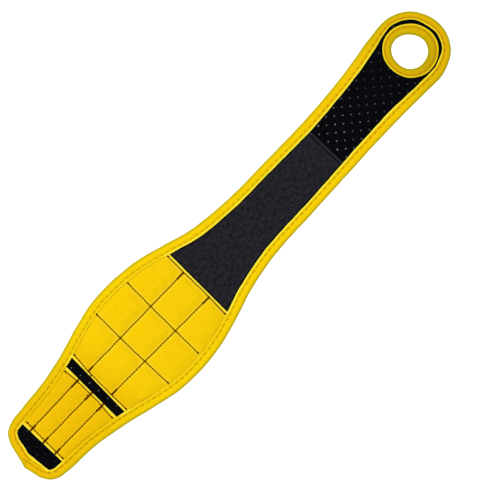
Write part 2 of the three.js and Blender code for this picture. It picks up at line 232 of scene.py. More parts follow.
# Loop patch and hook patch
LOOP_PATCH_END = 326.2
LOOP_PATCH_MARGIN = 1.0
LOOP_PATCH_GROOVE = 324.1
LOOP_PATCH_STEP = 0.8
LOOP_PATCH_ROWS = 60
PATCH_SEAMS = ((322.0, LOOP_PATCH_TOP - 0.12), (325.5, LOOP_PATCH_TOP - 0.08))
PATCH_SEAM_SPAN = (-18.5, 14.5)
HOOK_X = (28.0, 72.0)
HOOK_Y = (-18.5, 19.0)
HOOK_TAPE_GRID = (2.0, 3.0)
HOOK_PITCH = 1.55
HOOK_HALF_ACROSS = 0.14

# A hook's stem from root to tip: how far it leans, its height and half its width
HOOK_STEM = ((0, 0.45, 0.16), (0.05, 0.26, 0.12), (0.22, 0.12, 0.10), (0.46, 0.09, 0.06))

# The neoprene's perforation, and the strip of it that shows between the covers
HOLE_ANCHOR = np.array([347.3, 0.3])
HOLE_STEPS = np.array([[4.10, 4.65], [4.65, -4.10]])
HOLE_RADIUS = 0.80
HOLE_CORE = 0.62
HOLE_DEPTH = 0.45
HOLE_CLEARANCE = 1.2
HOLE_EDGE_MARGIN = 2.5
HOLE_SIDES = 9
HOLE_VARIETY = (0.7, 0.8, 0.9, 1.0, 1.1, 1.3, 1.9)
VISIBLE_STRIP = (77, 82)
NEOPRENE_GRID = (2.6, 3.4)
NEOPRENE_GRID_SHIFT = 0.37
GRID_EDGE_MARGIN = 0.9
GRID_HOLE_MARGIN = 0.45
LEAST_APART = 1e-5

# Thread
STITCH_LENGTH = 2.5
BINDING_STITCH_LENGTH = 5.05
BINDING_STITCH_GAP = 1.8
BINDING_THREAD_RADIUS = 0.24
QUILT_THREAD_RADIUS = 0.40
PATCH_THREAD_RADIUS = 0.2
QUILTING_HEIGHT = SEAM_HEIGHT + 0.12
TACK_HEIGHT = SEAM_HEIGHT + 0.28
LOOSE_END_HEIGHT = SEAM_HEIGHT + 0.25
TACK_STITCH = 1.5
KNOT_STITCH = 1.6
KNOT_ROWS = (-0.2, 0.2)
THREAD_ENDS = [
    ((70.8, -0.7), (71.4, 1.3)),
    ((70.4, -12.6), (69.8, -14.7)),
    ((84.9, 9.8), (82.5, 7.6)),
]

# The studio. The floor lies below the deepest bend, so that a bent band is seen whole.
FLOOR_HEIGHT = -0.28
FLOOR_HALF = 4
SURROUND_STRENGTH = 1.03
PAPER_GLOW = 0.35
LAMP_PLACE = (-0.25, 0.55, 1.0)
LAMP_SIZE = 0.6
LAMP_POWER = 4.2
CAMERA_LENS = 150
CAMERA_SENSOR = 36

# Photograph
IMAGE_SIZE = (492, 500)
MM_PER_PIXEL = 0.7386
IMAGE_MIDDLE_ON_BAND = np.array([229.95, -11.35, 4.0])
BAND_ANGLE_IN_IMAGE = math.degrees(math.atan2(0.7278, 0.6858))


# Curves and waves

def closed_curve(points, per_span=40):
    """A smooth closed curve through points at uneven distances."""
    p = np.array(points, float)
    t = np.linspace(0, 1, per_span, endpoint=False)[None, :, None]
    after = np.roll(p, -1, 0)
    span = np.linalg.norm(after - p, axis=1)[:, None]
    before = np.roll(span, 1, 0)
    slope = ((p - np.roll(p, 1, 0)) / before * span + (after - p) / span * before) / (before + span)
    leave = (slope * span)[:, None]
    arrive = (np.roll(slope, -1, 0) * span)[:, None]
    curve = (
        p[:, None] * (2 * t**3 - 3 * t**2 + 1)
        + leave * (t**3 - 2 * t**2 + t)
        + after[:, None] * (3 * t**2 - 2 * t**3)
        + arrive * (t**3 - t**2)
    )
    return curve.reshape(-1, 2)


def run_lengths(points):
    """How far along a line each of its points lies."""
    return np.concatenate([[0], np.cumsum(np.linalg.norm(np.diff(points, axis=0), axis=1))])


def read_line(at, lengths, points):
    """Points of a line at distances along it."""
    return np.stack([np.interp(at, lengths, column) for column in points.T], -1)


def evenly_spaced(points, step):
    """Points of a closed line at even steps, and the length of the line."""
    closed = np.vstack([points, points[:1]])
    lengths = run_lengths(closed)
    count = round(lengths[-1] / step)
    return read_line(np.arange(count) * lengths[-1] / count, lengths, closed), lengths[-1]


def unit(vectors):
    return vectors / np.linalg.norm(vectors, axis=-1, keepdims=True)


def directions(angle):
    return np.stack([np.cos(angle), np.sin(angle)], 1)


def lifted(x, y, z):
    """Points at heights."""
    return np.stack(np.broadcast_arrays(x, y, z), -1)


def within(value, span, margin=0.0):
    return (value > span[0] - margin) & (value < span[1] + margin)


def smooth(value, low, high):
    t = np.clip((np.asarray(value, float) - low) / (high - low), 0, 1)
    return t * t * (3 - 2 * t)


def plateau(value, rise, fall):
    """A share that rises smoothly over one span and falls over another."""
    return smooth(value, *rise) * (1 - smooth(value, *fall))


def hump(value, middle, width):
    return np.exp(-(((value - middle) / width) ** 2))


def wander(places, lengths, seed):
    """A smooth wave from -1 to 1 that mixes several wavelengths."""
    draw = random.Random(seed)
    waves = [np.sin(2 * np.pi * places / length + draw.uniform(0, 2 * np.pi)) for length in lengths]
    return sum(waves) / len(waves)


def ripple(x, y, lengths, seed):
    """The same over a surface, with each wave in its own direction."""
    draw = random.Random(seed)
    total = 0
    for length in lengths:
        angle = draw.uniform(0, np.pi)
        along = x * np.cos(angle) + y * np.sin(angle)
        total = total + np.sin(2 * np.pi * along / length + draw.uniform(0, 2 * np.pi))
    return total / len(lengths)


def across_line(line, y):
    """The x of a line given by (x, y) points, at each y."""
    points = np.array(sorted(line, key=lambda p: p[1]))
    return np.interp(y, points[:, 1], points[:, 0])


def along_line(line, x):
    points = np.array(line)
    return np.interp(x, points[:, 0], points[:, 1])


# The rim, measured along its length from the tail's furthest point

RIM, RIM_LENGTH = evenly_spaced(closed_curve(OUTLINE), RIM_STEP)
RIM = np.roll(RIM, -int(np.argmin(RIM[:, 0])), 0)
RIM_ALONG = unit(np.roll(RIM, -1, 0) - np.roll(RIM, 1, 0))
RIM_INWARD = np.stack([-RIM_ALONG[:, 1], RIM_ALONG[:, 0]], 1)
RIM_PLACE = np.arange(len(RIM)) * RIM_LENGTH / len(RIM)
RIM_TAPE = np.interp(RIM_PLACE, *np.array(TAPE_WIDTHS).T)
RIM_RANGE = (RIM.min(0), RIM.max(0))
LOOP_END = int(np.argmax(RIM[:, 0]))
RIM_HALF = {-1: np.arange(LOOP_END + 1), 1: np.arange(len(RIM) - 1, LOOP_END - 1, -1)}

# On the left half the tail's tip counts as the full length
HALF_PLACES = {side: RIM_PLACE[half] for side, half in RIM_HALF.items()}
HALF_PLACES[1][HALF_PLACES[1] < RIM_LENGTH / 4] += RIM_LENGTH


def rim_at(place):
    """Points of the rim and the directions into the band, at places along it."""
    places = np.append(RIM_PLACE, RIM_LENGTH)
    place = np.asarray(place, float) % RIM_LENGTH
    points, inward = (read_line(place, places, np.vstack([v, v[:1]])) for v in (RIM, RIM_INWARD))
    return points, unit(inward)


def at_station(side, x, values):
    half = RIM_HALF[side]
    return np.interp(x, RIM[half, 0], values[half])


def tape_width(place):
    return np.interp(np.asarray(place) % RIM_LENGTH, RIM_PLACE, RIM_TAPE)


def upper_tape(places):
    """Points, directions into the band and widths of the tape that starts on top at the tail's tip. It soon
    follows the rim and is as wide as the whole binding."""
    points, inward = rim_at(places)
    _, straight_in = rim_at(LAP_STRAIGHT)
    starts = np.array(LAP_WIDTHS)
    widths = np.where(places < starts[-1, 0], np.interp(places, *starts.T), tape_width(places))
    return points, np.where(places[:, None] < LAP_STRAIGHT, straight_in, inward), widths


def lower_tape(places):
    """The same of the tape that ends underneath, where it tapers."""
    points, inward = rim_at(places)
    return points, inward, tape_width(places) - LAP_TAPER * smooth(places - RIM_LENGTH, *LAP_TAPER_SPAN)


def side_y(side, x, distance):
    """The y of a point at a distance in from the rim."""
    y = at_station(side, x, RIM[:, 1])
    stretch = 1 / np.abs(at_station(side, x, RIM_ALONG[:, 0]))
    return y - side * distance * stretch


def inner_y(side, x, clearance):
    """The y of a point at a distance from the inner edge of the binding."""
    return side_y(side, x, at_station(side, x, RIM_TAPE) + clearance)


# The hinge lines, from the tail to the loop

Bend = namedtuple("Bend", "number low high hinge half start stop")
BEND_HALF = 8.0
LOOP_BEND_HALF = 10.0


def find_bends():
    """Each hinge with the two bodies that it joins, the tail's first, and the cuts on either side of it."""
    joints = sorted(frame["joints"], key=lambda joint: joint["pos_m"][0])
    stations = [joint["pos_m"][0] / MM + MIDDLE[0] for joint in joints]
    middles = [(a + b) / 2 for a, b in zip(stations, stations[1:])]
    cuts = [RIM_RANGE[0][0] - 1, *middles, RIM_RANGE[1][0] + 1]
    bends = []
    for i, joint in enumerate(joints):
        towards_tail = joint["axis"][1] < 0
        pair = (joint["child"], joint["parent"]) if towards_tail else (joint["parent"], joint["child"])
        half = LOOP_BEND_HALF if joint is joints[-1] else BEND_HALF
        bends.append(Bend(i + 1, *pair, stations[i], half, cuts[i], cuts[i + 1]))
    return bends


BENDS = find_bends()


def over_bend(piece, bend):
    start, end = (
        tuple(to_row([bend.hinge + way * bend.half, MIDDLE[1], 0])) for way in (-1, 1)
    )
    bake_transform(piece)
    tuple(start)
    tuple(end)


# Meshes

SQUARE = ((-1, -1), (1, -1), (1, 1), (-1, 1))


def link_object(name, data):
    made = bpy.data.objects.new(name, data)
    bpy.context.scene.collection.objects.link(made)
    return made


def make_piece(name, bend, slot, vertices, faces, materials, uv=None, tint=None, which=None, sharp=50):
    """A mesh object from millimetre points, for the part that lies across a hinge. uv and the tints go with
    the vertices, own tone with painted highlight and shade first and then warmth, and which names a face's
    material."""
    mesh = bpy.data.meshes.new(name)
    mesh.from_pydata(to_row(vertices).tolist(), [], [list(map(int, face)) for face in faces])
    for material in materials:
        mesh.materials.append(material)
    if which is not None:
        mesh.polygons.foreach_set("material_index", np.asarray(which, np.int32))
    mesh.polygons.foreach_set("use_smooth", np.ones(len(mesh.polygons), bool))
    if uv is not None:
        corner_vertex = np.zeros(len(mesh.loops), np.int32)
        mesh.loops.foreach_get("vertex_index", corner_vertex)
        layer = mesh.uv_layers.new(name="Cloth")
        layer.uv.foreach_set("vector", np.asarray(uv, np.float32)[corner_vertex].ravel())
    if tint is not None:
        columns = np.asarray(tint, np.float32).reshape(len(mesh.vertices), -1)
        for attribute, column in zip(("tone_and_painted_light", "warmth"), columns.T):
            layer = mesh.attributes.new(attribute, "FLOAT", "POINT")
            layer.data.foreach_set("value", np.ascontiguousarray(column))
    mesh.update()
    mesh.set_sharp_from_angle(angle=math.radians(sharp))
    piece = link_object(name, mesh)
    over_bend(piece, bend)
    return piece


def grid_faces(rows, columns, wrap=False):
    """Quads over a grid of points numbered row by row."""
    across = columns if wrap else columns - 1
    i, j = np.meshgrid(np.arange(rows - 1), np.arange(across), indexing="ij")
    k = (j + 1) % columns
    quads = np.stack([i * columns + j, (i + 1) * columns + j, (i + 1) * columns + k, i * columns + k], -1)
    return quads.reshape(-1, 4)


def closed_sheet(top, bottom):
    """A body between two grids of points of the same shape: vertices and quads, facing out."""
    rows, columns = top.shape[:2]
    count = rows * columns
    vertices = np.concatenate([top.reshape(-1, 3), bottom.reshape(-1, 3)])
    quads = grid_faces(rows, columns)
    number = np.arange(count).reshape(rows, columns)
    border = np.concatenate([number[0, :-1], number[:-1, -1], number[-1, :0:-1], number[:0:-1, 0]])
    after = np.roll(border, -1)
    walls = np.stack([border, after, after + count, border + count], 1)
    return vertices, np.concatenate([quads, quads[:, ::-1] + count, walls])


def tubes(paths, radius, sides=6):
    """Closed tubes along short paths of points, all in one mesh."""
    number, steps = paths.shape[:2]
    along = unit(np.gradient(paths, axis=1))
    across = unit(np.cross(along, [0, 0, 1.0]))
    upward = np.cross(across, along)
    angle = 2 * np.pi * np.arange(sides) / sides
    taper = np.ones(steps)
    taper[0] = taper[-1] = 0.6
    around = across[:, :, None] * np.cos(angle)[:, None] + upward[:, :, None] * np.sin(angle)[:, None]
    rings = paths[:, :, None] + around * (radius * taper)[None, :, None, None]
    one = grid_faces(steps, sides, wrap=True)
    caps = np.stack([np.arange(sides), np.arange(sides)[::-1] + (steps - 1) * sides])
    faces = []
    for tube in range(number):
        first = tube * steps * sides
        faces += (one + first).tolist() + (caps + first).tolist()
    return rings.reshape(-1, 3), faces


# Materials

def fill_sockets(tree, made, inputs):
    """Give a node's sockets, by name or number, a number or a colour, or link another node's output."""
    for name, value in inputs.items():
        socket = made.inputs[name]
        if isinstance(value, (int, float)):
            socket.default_value = value
        elif isinstance(value, tuple):
            socket.default_value = (*value, 1)
        else:
            tree.links.new(value, socket)


def node(tree, kind, inputs, **settings):
    made = tree.nodes.new(kind)
    for key, value in settings.items():
        setattr(made, key, value)
    fill_sockets(tree, made, inputs)
    return made


def calc(tree, operation, *values):
    return node(tree, "ShaderNodeMath", dict(enumerate(values)), operation=operation).outputs[0]


def scaled(tree, vector, scale):
    return node(tree, "ShaderNodeVectorMath", {0: vector, "Scale": scale}, operation="SCALE").outputs[0]


def mixed(tree, factor, a, b, **settings):
    """A colour between two, each a colour or an output."""
    return node(tree, "ShaderNodeMix", {0: factor, 6: a, 7: b}, data_type="RGBA", **settings).outputs[2]


def tint_of(tree, attribute):
    return node(tree, "ShaderNodeAttribute", {}, attribute_name=attribute).outputs["Fac"]


def cloth_place(tree, scale=1.0):
    """Where a point is on the cloth before it bends, in units of a pitch."""
    return scaled(tree, node(tree, "ShaderNodeUVMap", {}, uv_map="Cloth").outputs[0], scale)


def piece_place(tree):
    return node(tree, "ShaderNodeTexCoord", {}).outputs["Object"]


def noise(tree, place, scale, detail=2.0):
    inputs = {"Vector": place, "Scale": scale, "Detail": detail}
    return node(tree, "ShaderNodeTexNoise", inputs).outputs["Fac"]


def weave_height(tree, pitch):
    """Plain weave: each crossing shows the thread that runs one way or the other."""
    place = cloth_place(tree, 1 / pitch)
    parts = node(tree, "ShaderNodeSeparateXYZ", {0: place})
    waves = [
        calc(tree, "ABSOLUTE", calc(tree, "SINE", calc(tree, "MULTIPLY", parts.outputs[i], math.pi)))
        for i in (0, 1)
    ]
    heights = []
    for strand, crown in (waves, waves[::-1]):
        crowned = calc(tree, "MULTIPLY_ADD", crown, 0.45, 0.55)
        heights.append(calc(tree, "MULTIPLY", calc(tree, "POWER", strand, 0.6), crowned))
    checker = node(tree, "ShaderNodeTexChecker", {"Vector": place, "Scale": 1.0})
    inputs = {0: checker.outputs["Fac"], 2: heights[0], 3: heights[1]}
    return node(tree, "ShaderNodeMix", inputs, data_type="FLOAT").outputs[0]


def surface(name, roughness, specular, sheen=0.0, metal=0.0):
    """A material without its colour."""
    material = bpy.data.materials.new(name)
    material.use_nodes = True
    tree = material.node_tree
    fill_sockets(tree, tree.nodes["Principled BSDF"], {
        "Roughness": roughness, "Specular IOR Level": specular, "Metallic": metal,
        "Sheen Weight": sheen, "Sheen Roughness": 0.5,
    })
    return material, tree


def dressed(material, colour, height, depth, strength=0.6):
    """The material with its colour and its relief."""
    tree = material.node_tree
    relief = node(tree, "ShaderNodeBump", {"Strength": strength, "Distance": depth, "Height": height})
    inputs = {"Base Color": colour, "Normal": relief.outputs[0]}
    fill_sockets(tree, tree.nodes["Principled BSDF"], inputs)
    return material


OCHRE = (0.93, 0.62, 1.0)
# How much of the gap colour the painted shade keeps
PAINTED_SHADE_SHARES = (0.54, 0.68, 0.7)
BLOTCH_SCALE = 0.06
BLOTCH_SHARE = 0.22
FLECK_SCALE = 0.8
KNIT_FINE_SHARE = 0.6
KNIT_MIDDLE = 0.40
KNIT_CONTRAST = 4.8
KNIT_TINT = 0.7


def flecked(tree, colour, warmth, plain, warm):
    """The colour made a little lighter and darker from spot to spot, as the threads vary: by the plain
    contrast, and more where the warmth is higher."""
    flecks = calc(tree, "SUBTRACT", noise(tree, cloth_place(tree), FLECK_SCALE), 0.5)
    contrast = calc(tree, "MULTIPLY_ADD", warmth, warm, plain)
    return scaled(tree, colour, calc(tree, "MULTIPLY_ADD", flecks, contrast, 1.0))


def yellow_cloth(name, light, deep, painted_highlight_colour, pitch, depth, flecks):
    """Woven yellow: threads lighter than the gaps between them, with painted shade in the gaps, and soft
    blotches;
    a painted highlight where the tint is above nought, as on folded edges, painted shade where it is below,
    and warmer where the warmth is."""
    material, tree = surface(name, 0.9, 0.03, sheen=0.01)
    height = weave_height(tree, pitch)
    blotches = calc(tree, "MULTIPLY", noise(tree, cloth_place(tree), BLOTCH_SCALE, 3.0), BLOTCH_SHARE)
    tone_and_painted_light, warmth = tint_of(tree, "tone_and_painted_light"), tint_of(tree, "warmth")
    shaded = flecked(tree, mixed(tree, blotches, mixed(tree, height, deep, light), deep), warmth, *flecks)
    # Painted highlight where the tint is above nought, painted shade where it is below
    above = calc(tree, "MAXIMUM", tone_and_painted_light, 0.0)
    below = calc(tree, "MAXIMUM", calc(tree, "MULTIPLY", tone_and_painted_light, -1.0), 0.0)
    painted_shade_colour = tuple(share * part for share, part in zip(PAINTED_SHADE_SHARES, deep))
    tinted = mixed(tree, below, mixed(tree, above, shaded, painted_highlight_colour), painted_shade_colour)
    return dressed(material, mixed(tree, warmth, tinted, OCHRE, blend_type="MULTIPLY"), height, depth)


def knit(name, dark, light, scale, depth, roughness=0.9, sheen=0.0):
    """Knitted or piled black cloth: mottled in colour and height, lighter or darker by its tint, which is
    its own tone except in the loop patch's groove, where it is painted shade.
    """
    material, tree = surface(name, roughness, 0.02, sheen)
    fine = noise(tree, cloth_place(tree), scale, 4.0)
    coarse = calc(tree, "MULTIPLY", noise(tree, cloth_place(tree), scale / 4, 3.0), 1 - KNIT_FINE_SHARE)
    mottled = calc(tree, "MULTIPLY_ADD", fine, KNIT_FINE_SHARE, coarse)
    contrast = calc(tree, "MULTIPLY", calc(tree, "SUBTRACT", mottled, KNIT_MIDDLE), KNIT_CONTRAST)
    contrast.node.use_clamp = True
    shown = calc(tree, "MULTIPLY_ADD", tint_of(tree, "tone_and_painted_light"), KNIT_TINT, contrast)
    return dressed(material, mixed(tree, shown, dark, light), fine, depth)


def hole_core(name, dark, light):
    """The core of the neoprene at the bottom of a hole, as pale as its tint says."""
    material, tree = surface(name, 0.9, 0.06)
    cloud = noise(tree, piece_place(tree), 900)
    shown = calc(tree, "MULTIPLY", tint_of(tree, "tone_and_painted_light"), calc(tree, "MULTIPLY_ADD", cloud, 0.4, 0.8))
    return dressed(material, mixed(tree, shown, dark, light), cloud, 0.00003, 0.4)


def thread(name, colour, highlight):
    """Twisted sewing thread."""
    material, tree = surface(name, 0.8, 0.02)
    inputs = {"Vector": piece_place(tree), "Scale": 1800}
    twist = node(tree, "ShaderNodeTexWave", inputs, bands_direction="DIAGONAL").outputs["Fac"]
    return dressed(material, mixed(tree, twist, colour, highlight), twist, 0.00006)


def plain_mottled(name, colour, other, roughness, specular, metal=0.0):
    """A moulded or plated surface with faint cloudiness."""
    material, tree = surface(name, roughness, specular, metal=metal)
    cloud = noise(tree, piece_place(tree), 180, 3.0)
    return dressed(material, mixed(tree, cloud, colour, other), cloud, 0.00003, 0.4)


# Each yellow: its threads' colour, its gaps' colour, which painted shade also darkens, and its painted
# highlight colour
TAPE = yellow_cloth("tape", (0.800, 0.556, 0.001), (0.705, 0.460, 0.0005), (0.87, 0.79, 0.060),
                    0.55, 0.00010, flecks=(0.46, 0.0))
COVER = yellow_cloth("oxford_cover", (0.77, 0.515, 0.001), (0.70, 0.445, 0.0005), (0.90, 0.78, 0.06),
                     0.9, 0.00016, flecks=(0.28, 1.1))
NEOPRENE = knit("neoprene_knit", (0.0010, 0.0011, 0.0017), (0.0026, 0.0028, 0.0042), 1.6, 0.00010)
HOLE_LIGHT = hole_core("hole_core", (0.001, 0.001, 0.002), (0.34, 0.34, 0.35))
LOOP_PILE = knit("loop_pile", (0.0045, 0.0043, 0.0066), (0.0212, 0.0202, 0.0270),
                 1.3, 0.00040, roughness=1.0, sheen=0.04)
HOOK_PLASTIC = plain_mottled("hook_plastic", (0.008, 0.008, 0.009), (0.018, 0.018, 0.020), 0.6, 0.15)
BINDING_THREAD = thread("binding_thread", (0.34, 0.16, 0.002), (0.52, 0.27, 0.003))
QUILT_THREAD = thread("quilting_thread", (0.048, 0.008, 0.0003), (0.098, 0.022, 0.0006))
DARK_THREAD = thread("dark_thread", (0.018, 0.018, 0.022), (0.034, 0.034, 0.040))
NICKEL = plain_mottled("nickel_plate", (0.66, 0.65, 0.62), (0.74, 0.73, 0.70), 0.28, 0.5, metal=1.0)


# Neoprene base

def lattice_holes(x_range, y_range):
    """Centres of the punched holes inside a box."""
    steps = np.arange(-90, 91)
    a, b = np.meshgrid(steps, steps)
    centres = HOLE_ANCHOR + a.reshape(-1, 1) * HOLE_STEPS[0] + b.reshape(-1, 1) * HOLE_STEPS[1]
    return centres[within(centres[:, 0], x_range) & within(centres[:, 1], y_range)]


def rim_distance(points, stride=3):
    """How far points are from the rim, with points outside it negative."""
    sample = slice(None, None, stride)
    rim = RIM[sample]
    gaps = points[:, None] - rim[None]
    squares = (gaps**2).sum(2)
    nearest = squares.argmin(1)
    inward = (gaps[np.arange(len(points)), nearest] * RIM_INWARD[sample][nearest]).sum(1)
    return np.sqrt(squares.min(1)) * np.sign(inward)


def hole_distance(points):
    return np.linalg.norm(points - THUMB_HOLE, axis=1) - THUMB_HOLE_RADIUS


def edge_distance(points):
    """Distance in from the rim or from the thumb hole, whichever is nearer."""
    return np.minimum(rim_distance(points), hole_distance(points))


def punched_holes(x_range):
    """The holes between two stations that are clear of the edges."""
    holes = lattice_holes(x_range, (RIM_RANGE[0][1], RIM_RANGE[1][1]))
    return holes[edge_distance(holes) > NEOPRENE_INSET + HOLE_EDGE_MARGIN] if len(holes) else holes


def visible_from_above(x):
    """Whether the neoprene shows between the covers and patches at a station."""
    tab_end = TAIL_COVER["folds"][0][0][0] - 1
    return (x < tab_end) | within(x, VISIBLE_STRIP) | (x > LOOP_PATCH_END + 1)


def round_the_holes(station, y):
    """The x of a cut across the band, which bulges so that it passes beside every hole."""
    x = np.full(len(y), float(station))
    for hole in punched_holes((station - HOLE_CLEARANCE, station + HOLE_CLEARANCE)):
        reach = np.sqrt(np.maximum(HOLE_CLEARANCE**2 - (y - hole[1]) ** 2, 0))
        beside = hole[0] + np.where(hole[0] < station, reach, -reach)
        x = np.where(reach > 0, (np.maximum if hole[0] < station else np.minimum)(x, beside), x)
    return x


def neoprene_outline(bend):
    """Corners of one part of the base, counter-clockwise, with its cut ends straight across."""
    rim_step, cut_step, cut_margin, least_gap = 2.0, 0.45, 0.7, 0.3
    inset = RIM + RIM_INWARD * NEOPRENE_INSET
    right, left = inset[RIM_HALF[-1]], inset[RIM_HALF[1]]

    def part(points):
        points = points[within(points[:, 0], (bend.start, bend.stop), -cut_margin)]
        points = points[::round(rim_step / RIM_STEP)]
        return points[rim_distance(points, 1) > NEOPRENE_INSET - 0.01]

    def cut(x):
        if not within(x, (RIM_RANGE[0][0], RIM_RANGE[1][0])):
            return np.zeros((0, 2))
        low, high = (np.interp(x, *side.T) for side in (right, left))
        y = np.linspace(low, high, round((high - low) / cut_step))
        return np.stack([round_the_holes(x, y), y], 1)

    corners = np.concatenate([part(right), cut(bend.stop), part(left)[::-1], cut(bend.start)[::-1]])
    return corners[np.linalg.norm(corners - np.roll(corners, 1, 0), axis=1) > least_gap]


def thumb_hole_outline():
    angle = np.linspace(0, 2 * np.pi, 60, endpoint=False)
    return THUMB_HOLE + (THUMB_HOLE_RADIUS + NEOPRENE_INSET) * directions(angle)


Sheet = namedtuple("Sheet", "points faces light core corners")


def perforated_sheet(outline, opening, holes, side):
    """Triangles over an outline, with two rings of points at each hole: the points with their heights, the
    triangles, how bright each point is, whether a triangle is a hole's core, and where each corner went."""
    low, high = outline.min(0), outline.max(0)
    columns, rows = (
        np.arange(low[i] // step * step, high[i], step) for i, step in enumerate(NEOPRENE_GRID)
    )
    x, y = np.meshgrid(columns, rows)
    spots = np.stack([x.ravel() + NEOPRENE_GRID_SHIFT, y.ravel()], 1)
    inside = edge_distance(spots) > NEOPRENE_INSET + GRID_EDGE_MARGIN
    inside &= within(spots[:, 0], (low[0], high[0]), -NEOPRENE_GRID[0])
    if len(holes):
        gaps = np.linalg.norm(spots[:, None] - holes[None], axis=2).min(1)
        inside &= gaps > HOLE_RADIUS + GRID_HOLE_MARGIN
    circle = directions(2 * np.pi * np.arange(HOLE_SIDES) / HOLE_SIDES)
    outer, inner = ((holes[:, None] + radius * circle).reshape(-1, 2) for radius in (HOLE_RADIUS, HOLE_CORE))
    points = np.concatenate([outline, opening, spots[inside], outer, inner])
    plain = np.zeros(len(points) - len(inner))
    depth = np.concatenate([plain, np.ones(len(inner))])
    light = np.concatenate([plain, np.repeat(hole_brightness(holes, side), HOLE_SIDES)])
    numbers = np.arange(len(opening)) + len(outline)
    edges = np.stack([numbers, np.roll(numbers, -1)], 1).tolist()
    vectors = [Vector((float(a), float(b))) for a, b in points]
    loops = [list(range(len(outline)))]
    places, _, faces, origins, _, _ = delaunay_2d_cdt(vectors, edges, loops, 1, LEAST_APART)
    new = np.array([list(place) for place in places])
    origin = np.array([numbers[0] for numbers in origins])
    faces = np.array(faces)
    faces = faces[hole_distance(new[faces].mean(1)) > NEOPRENE_INSET]
    a, b, c = (new[faces[:, i]] for i in range(3))
    turned = (b[:, 0] - a[:, 0]) * (c[:, 1] - a[:, 1]) - (b[:, 1] - a[:, 1]) * (c[:, 0] - a[:, 0]) < 0
    faces[turned] = faces[turned][:, ::-1]
    z = (neoprene_top if side > 0 else neoprene_under)(*new.T) - side * HOLE_DEPTH * depth[origin]
    corners = np.empty(len(points), int)
    corners[origin] = np.arange(len(origin))
    return Sheet(lifted(*new.T, z), faces, light[origin], depth[origin][faces].min(1) > 0.5, corners)


def hole_brightness(holes, side):
    """The pale core of each hole shows less and less from the loop patch to the thumb loop, and least at
    the tail."""
    draw = random.Random(17)
    vary = np.array([draw.choice(HOLE_VARIETY) for _ in holes])
    if side < 0:
        return 0.35 * vary
    x = holes[:, 0]
    along_strap = 0.40 - 0.30 * smooth(x, 328, 385)
    return np.where(x < 30, 0.05, np.where(x < 100, 0.24, along_strap)) * vary


def neoprene_top(x, y):
    return NEOPRENE_TOP + 0.05 * ripple(x, y, (17, 23, 31), 5)


def neoprene_under(x, y):
    """The wrist side bulges a little between the bindings, but not under the hook patch."""
    points = np.stack([np.asarray(x, float).ravel(), np.asarray(y, float).ravel()], 1)
    bulge = smooth(edge_distance(points), SECTION_WIDTH, SECTION_WIDTH + 7).reshape(np.shape(x))
    over_hooks = 1
    for value, (low, high), reach in ((x, HOOK_X, 6), (y, HOOK_Y, 5.5)):
        over_hooks = over_hooks * plateau(value, (low - reach, low - 1), (high + 1, high + reach))
    return NEOPRENE_BOTTOM - 0.4 * bulge * (1 - over_hooks) + 0.04 * ripple(x, y, (13, 19, 29), 6)


def add_neoprene(bend):
    outline = neoprene_outline(bend)
    opening = thumb_hole_outline() if bend is BENDS[-1] else np.zeros((0, 2))
    holes = punched_holes((bend.start, bend.stop))
    x, y = holes.T
    top = perforated_sheet(outline, opening, holes[visible_from_above(x)], 1)
    beside_hooks = ~(within(x, HOOK_X, 1.5) & within(y, HOOK_Y, 1.5))
    under = perforated_sheet(outline, opening, holes[beside_hooks], -1)
    count = len(top.points)
    walls = []
    for loop in (np.arange(len(outline)), np.arange(len(opening))[::-1] + len(outline)):
        upper, lower = top.corners[loop], under.corners[loop] + count
        walls += np.stack([upper, lower, np.roll(lower, -1), np.roll(upper, -1)], 1).tolist()
    vertices = np.concatenate([top.points, under.points])
    faces = top.faces.tolist() + (under.faces[:, ::-1] + count).tolist() + walls
    which = np.concatenate([top.core, under.core, np.zeros(len(walls))]).astype(int)
    light = np.concatenate([top.light, under.light])
    return make_piece(f"neoprene_{bend.number}", bend, "neoprene", vertices, faces, [NEOPRENE, HOLE_LIGHT],
                      uv=vertices[:, :2], tint=light, which=which, sharp=35)


# Edge binding

# How far the tape's crown, the height and reach of its lip, and its fold wander, with the wavelengths and
# the seed of each
TAPE_WANDER = {
    "crown": (0.12, (9.3, 14.1, 23.7), 11),
    "lip_height": (0.08, (6.1, 10.7, 17.3), 12),
    "lip_reach": (0.16, (11.9, 19.3, 34.0), 13),
    "fold": (0.10, (16.0, 27.0, 43.0), 14),
}
STITCH_PULL = 0.10
STITCH_CROWN = 0.04
CREASE_DEPTH = 0.3

# How much of the lip's painted highlight goes beside a cover, and where each cover begins and ends
COVERED_LIP_LOSS = 0.85
COVER_REACHES = (((23, 26), (74, 77)), ((83, 86), (186, 189)))


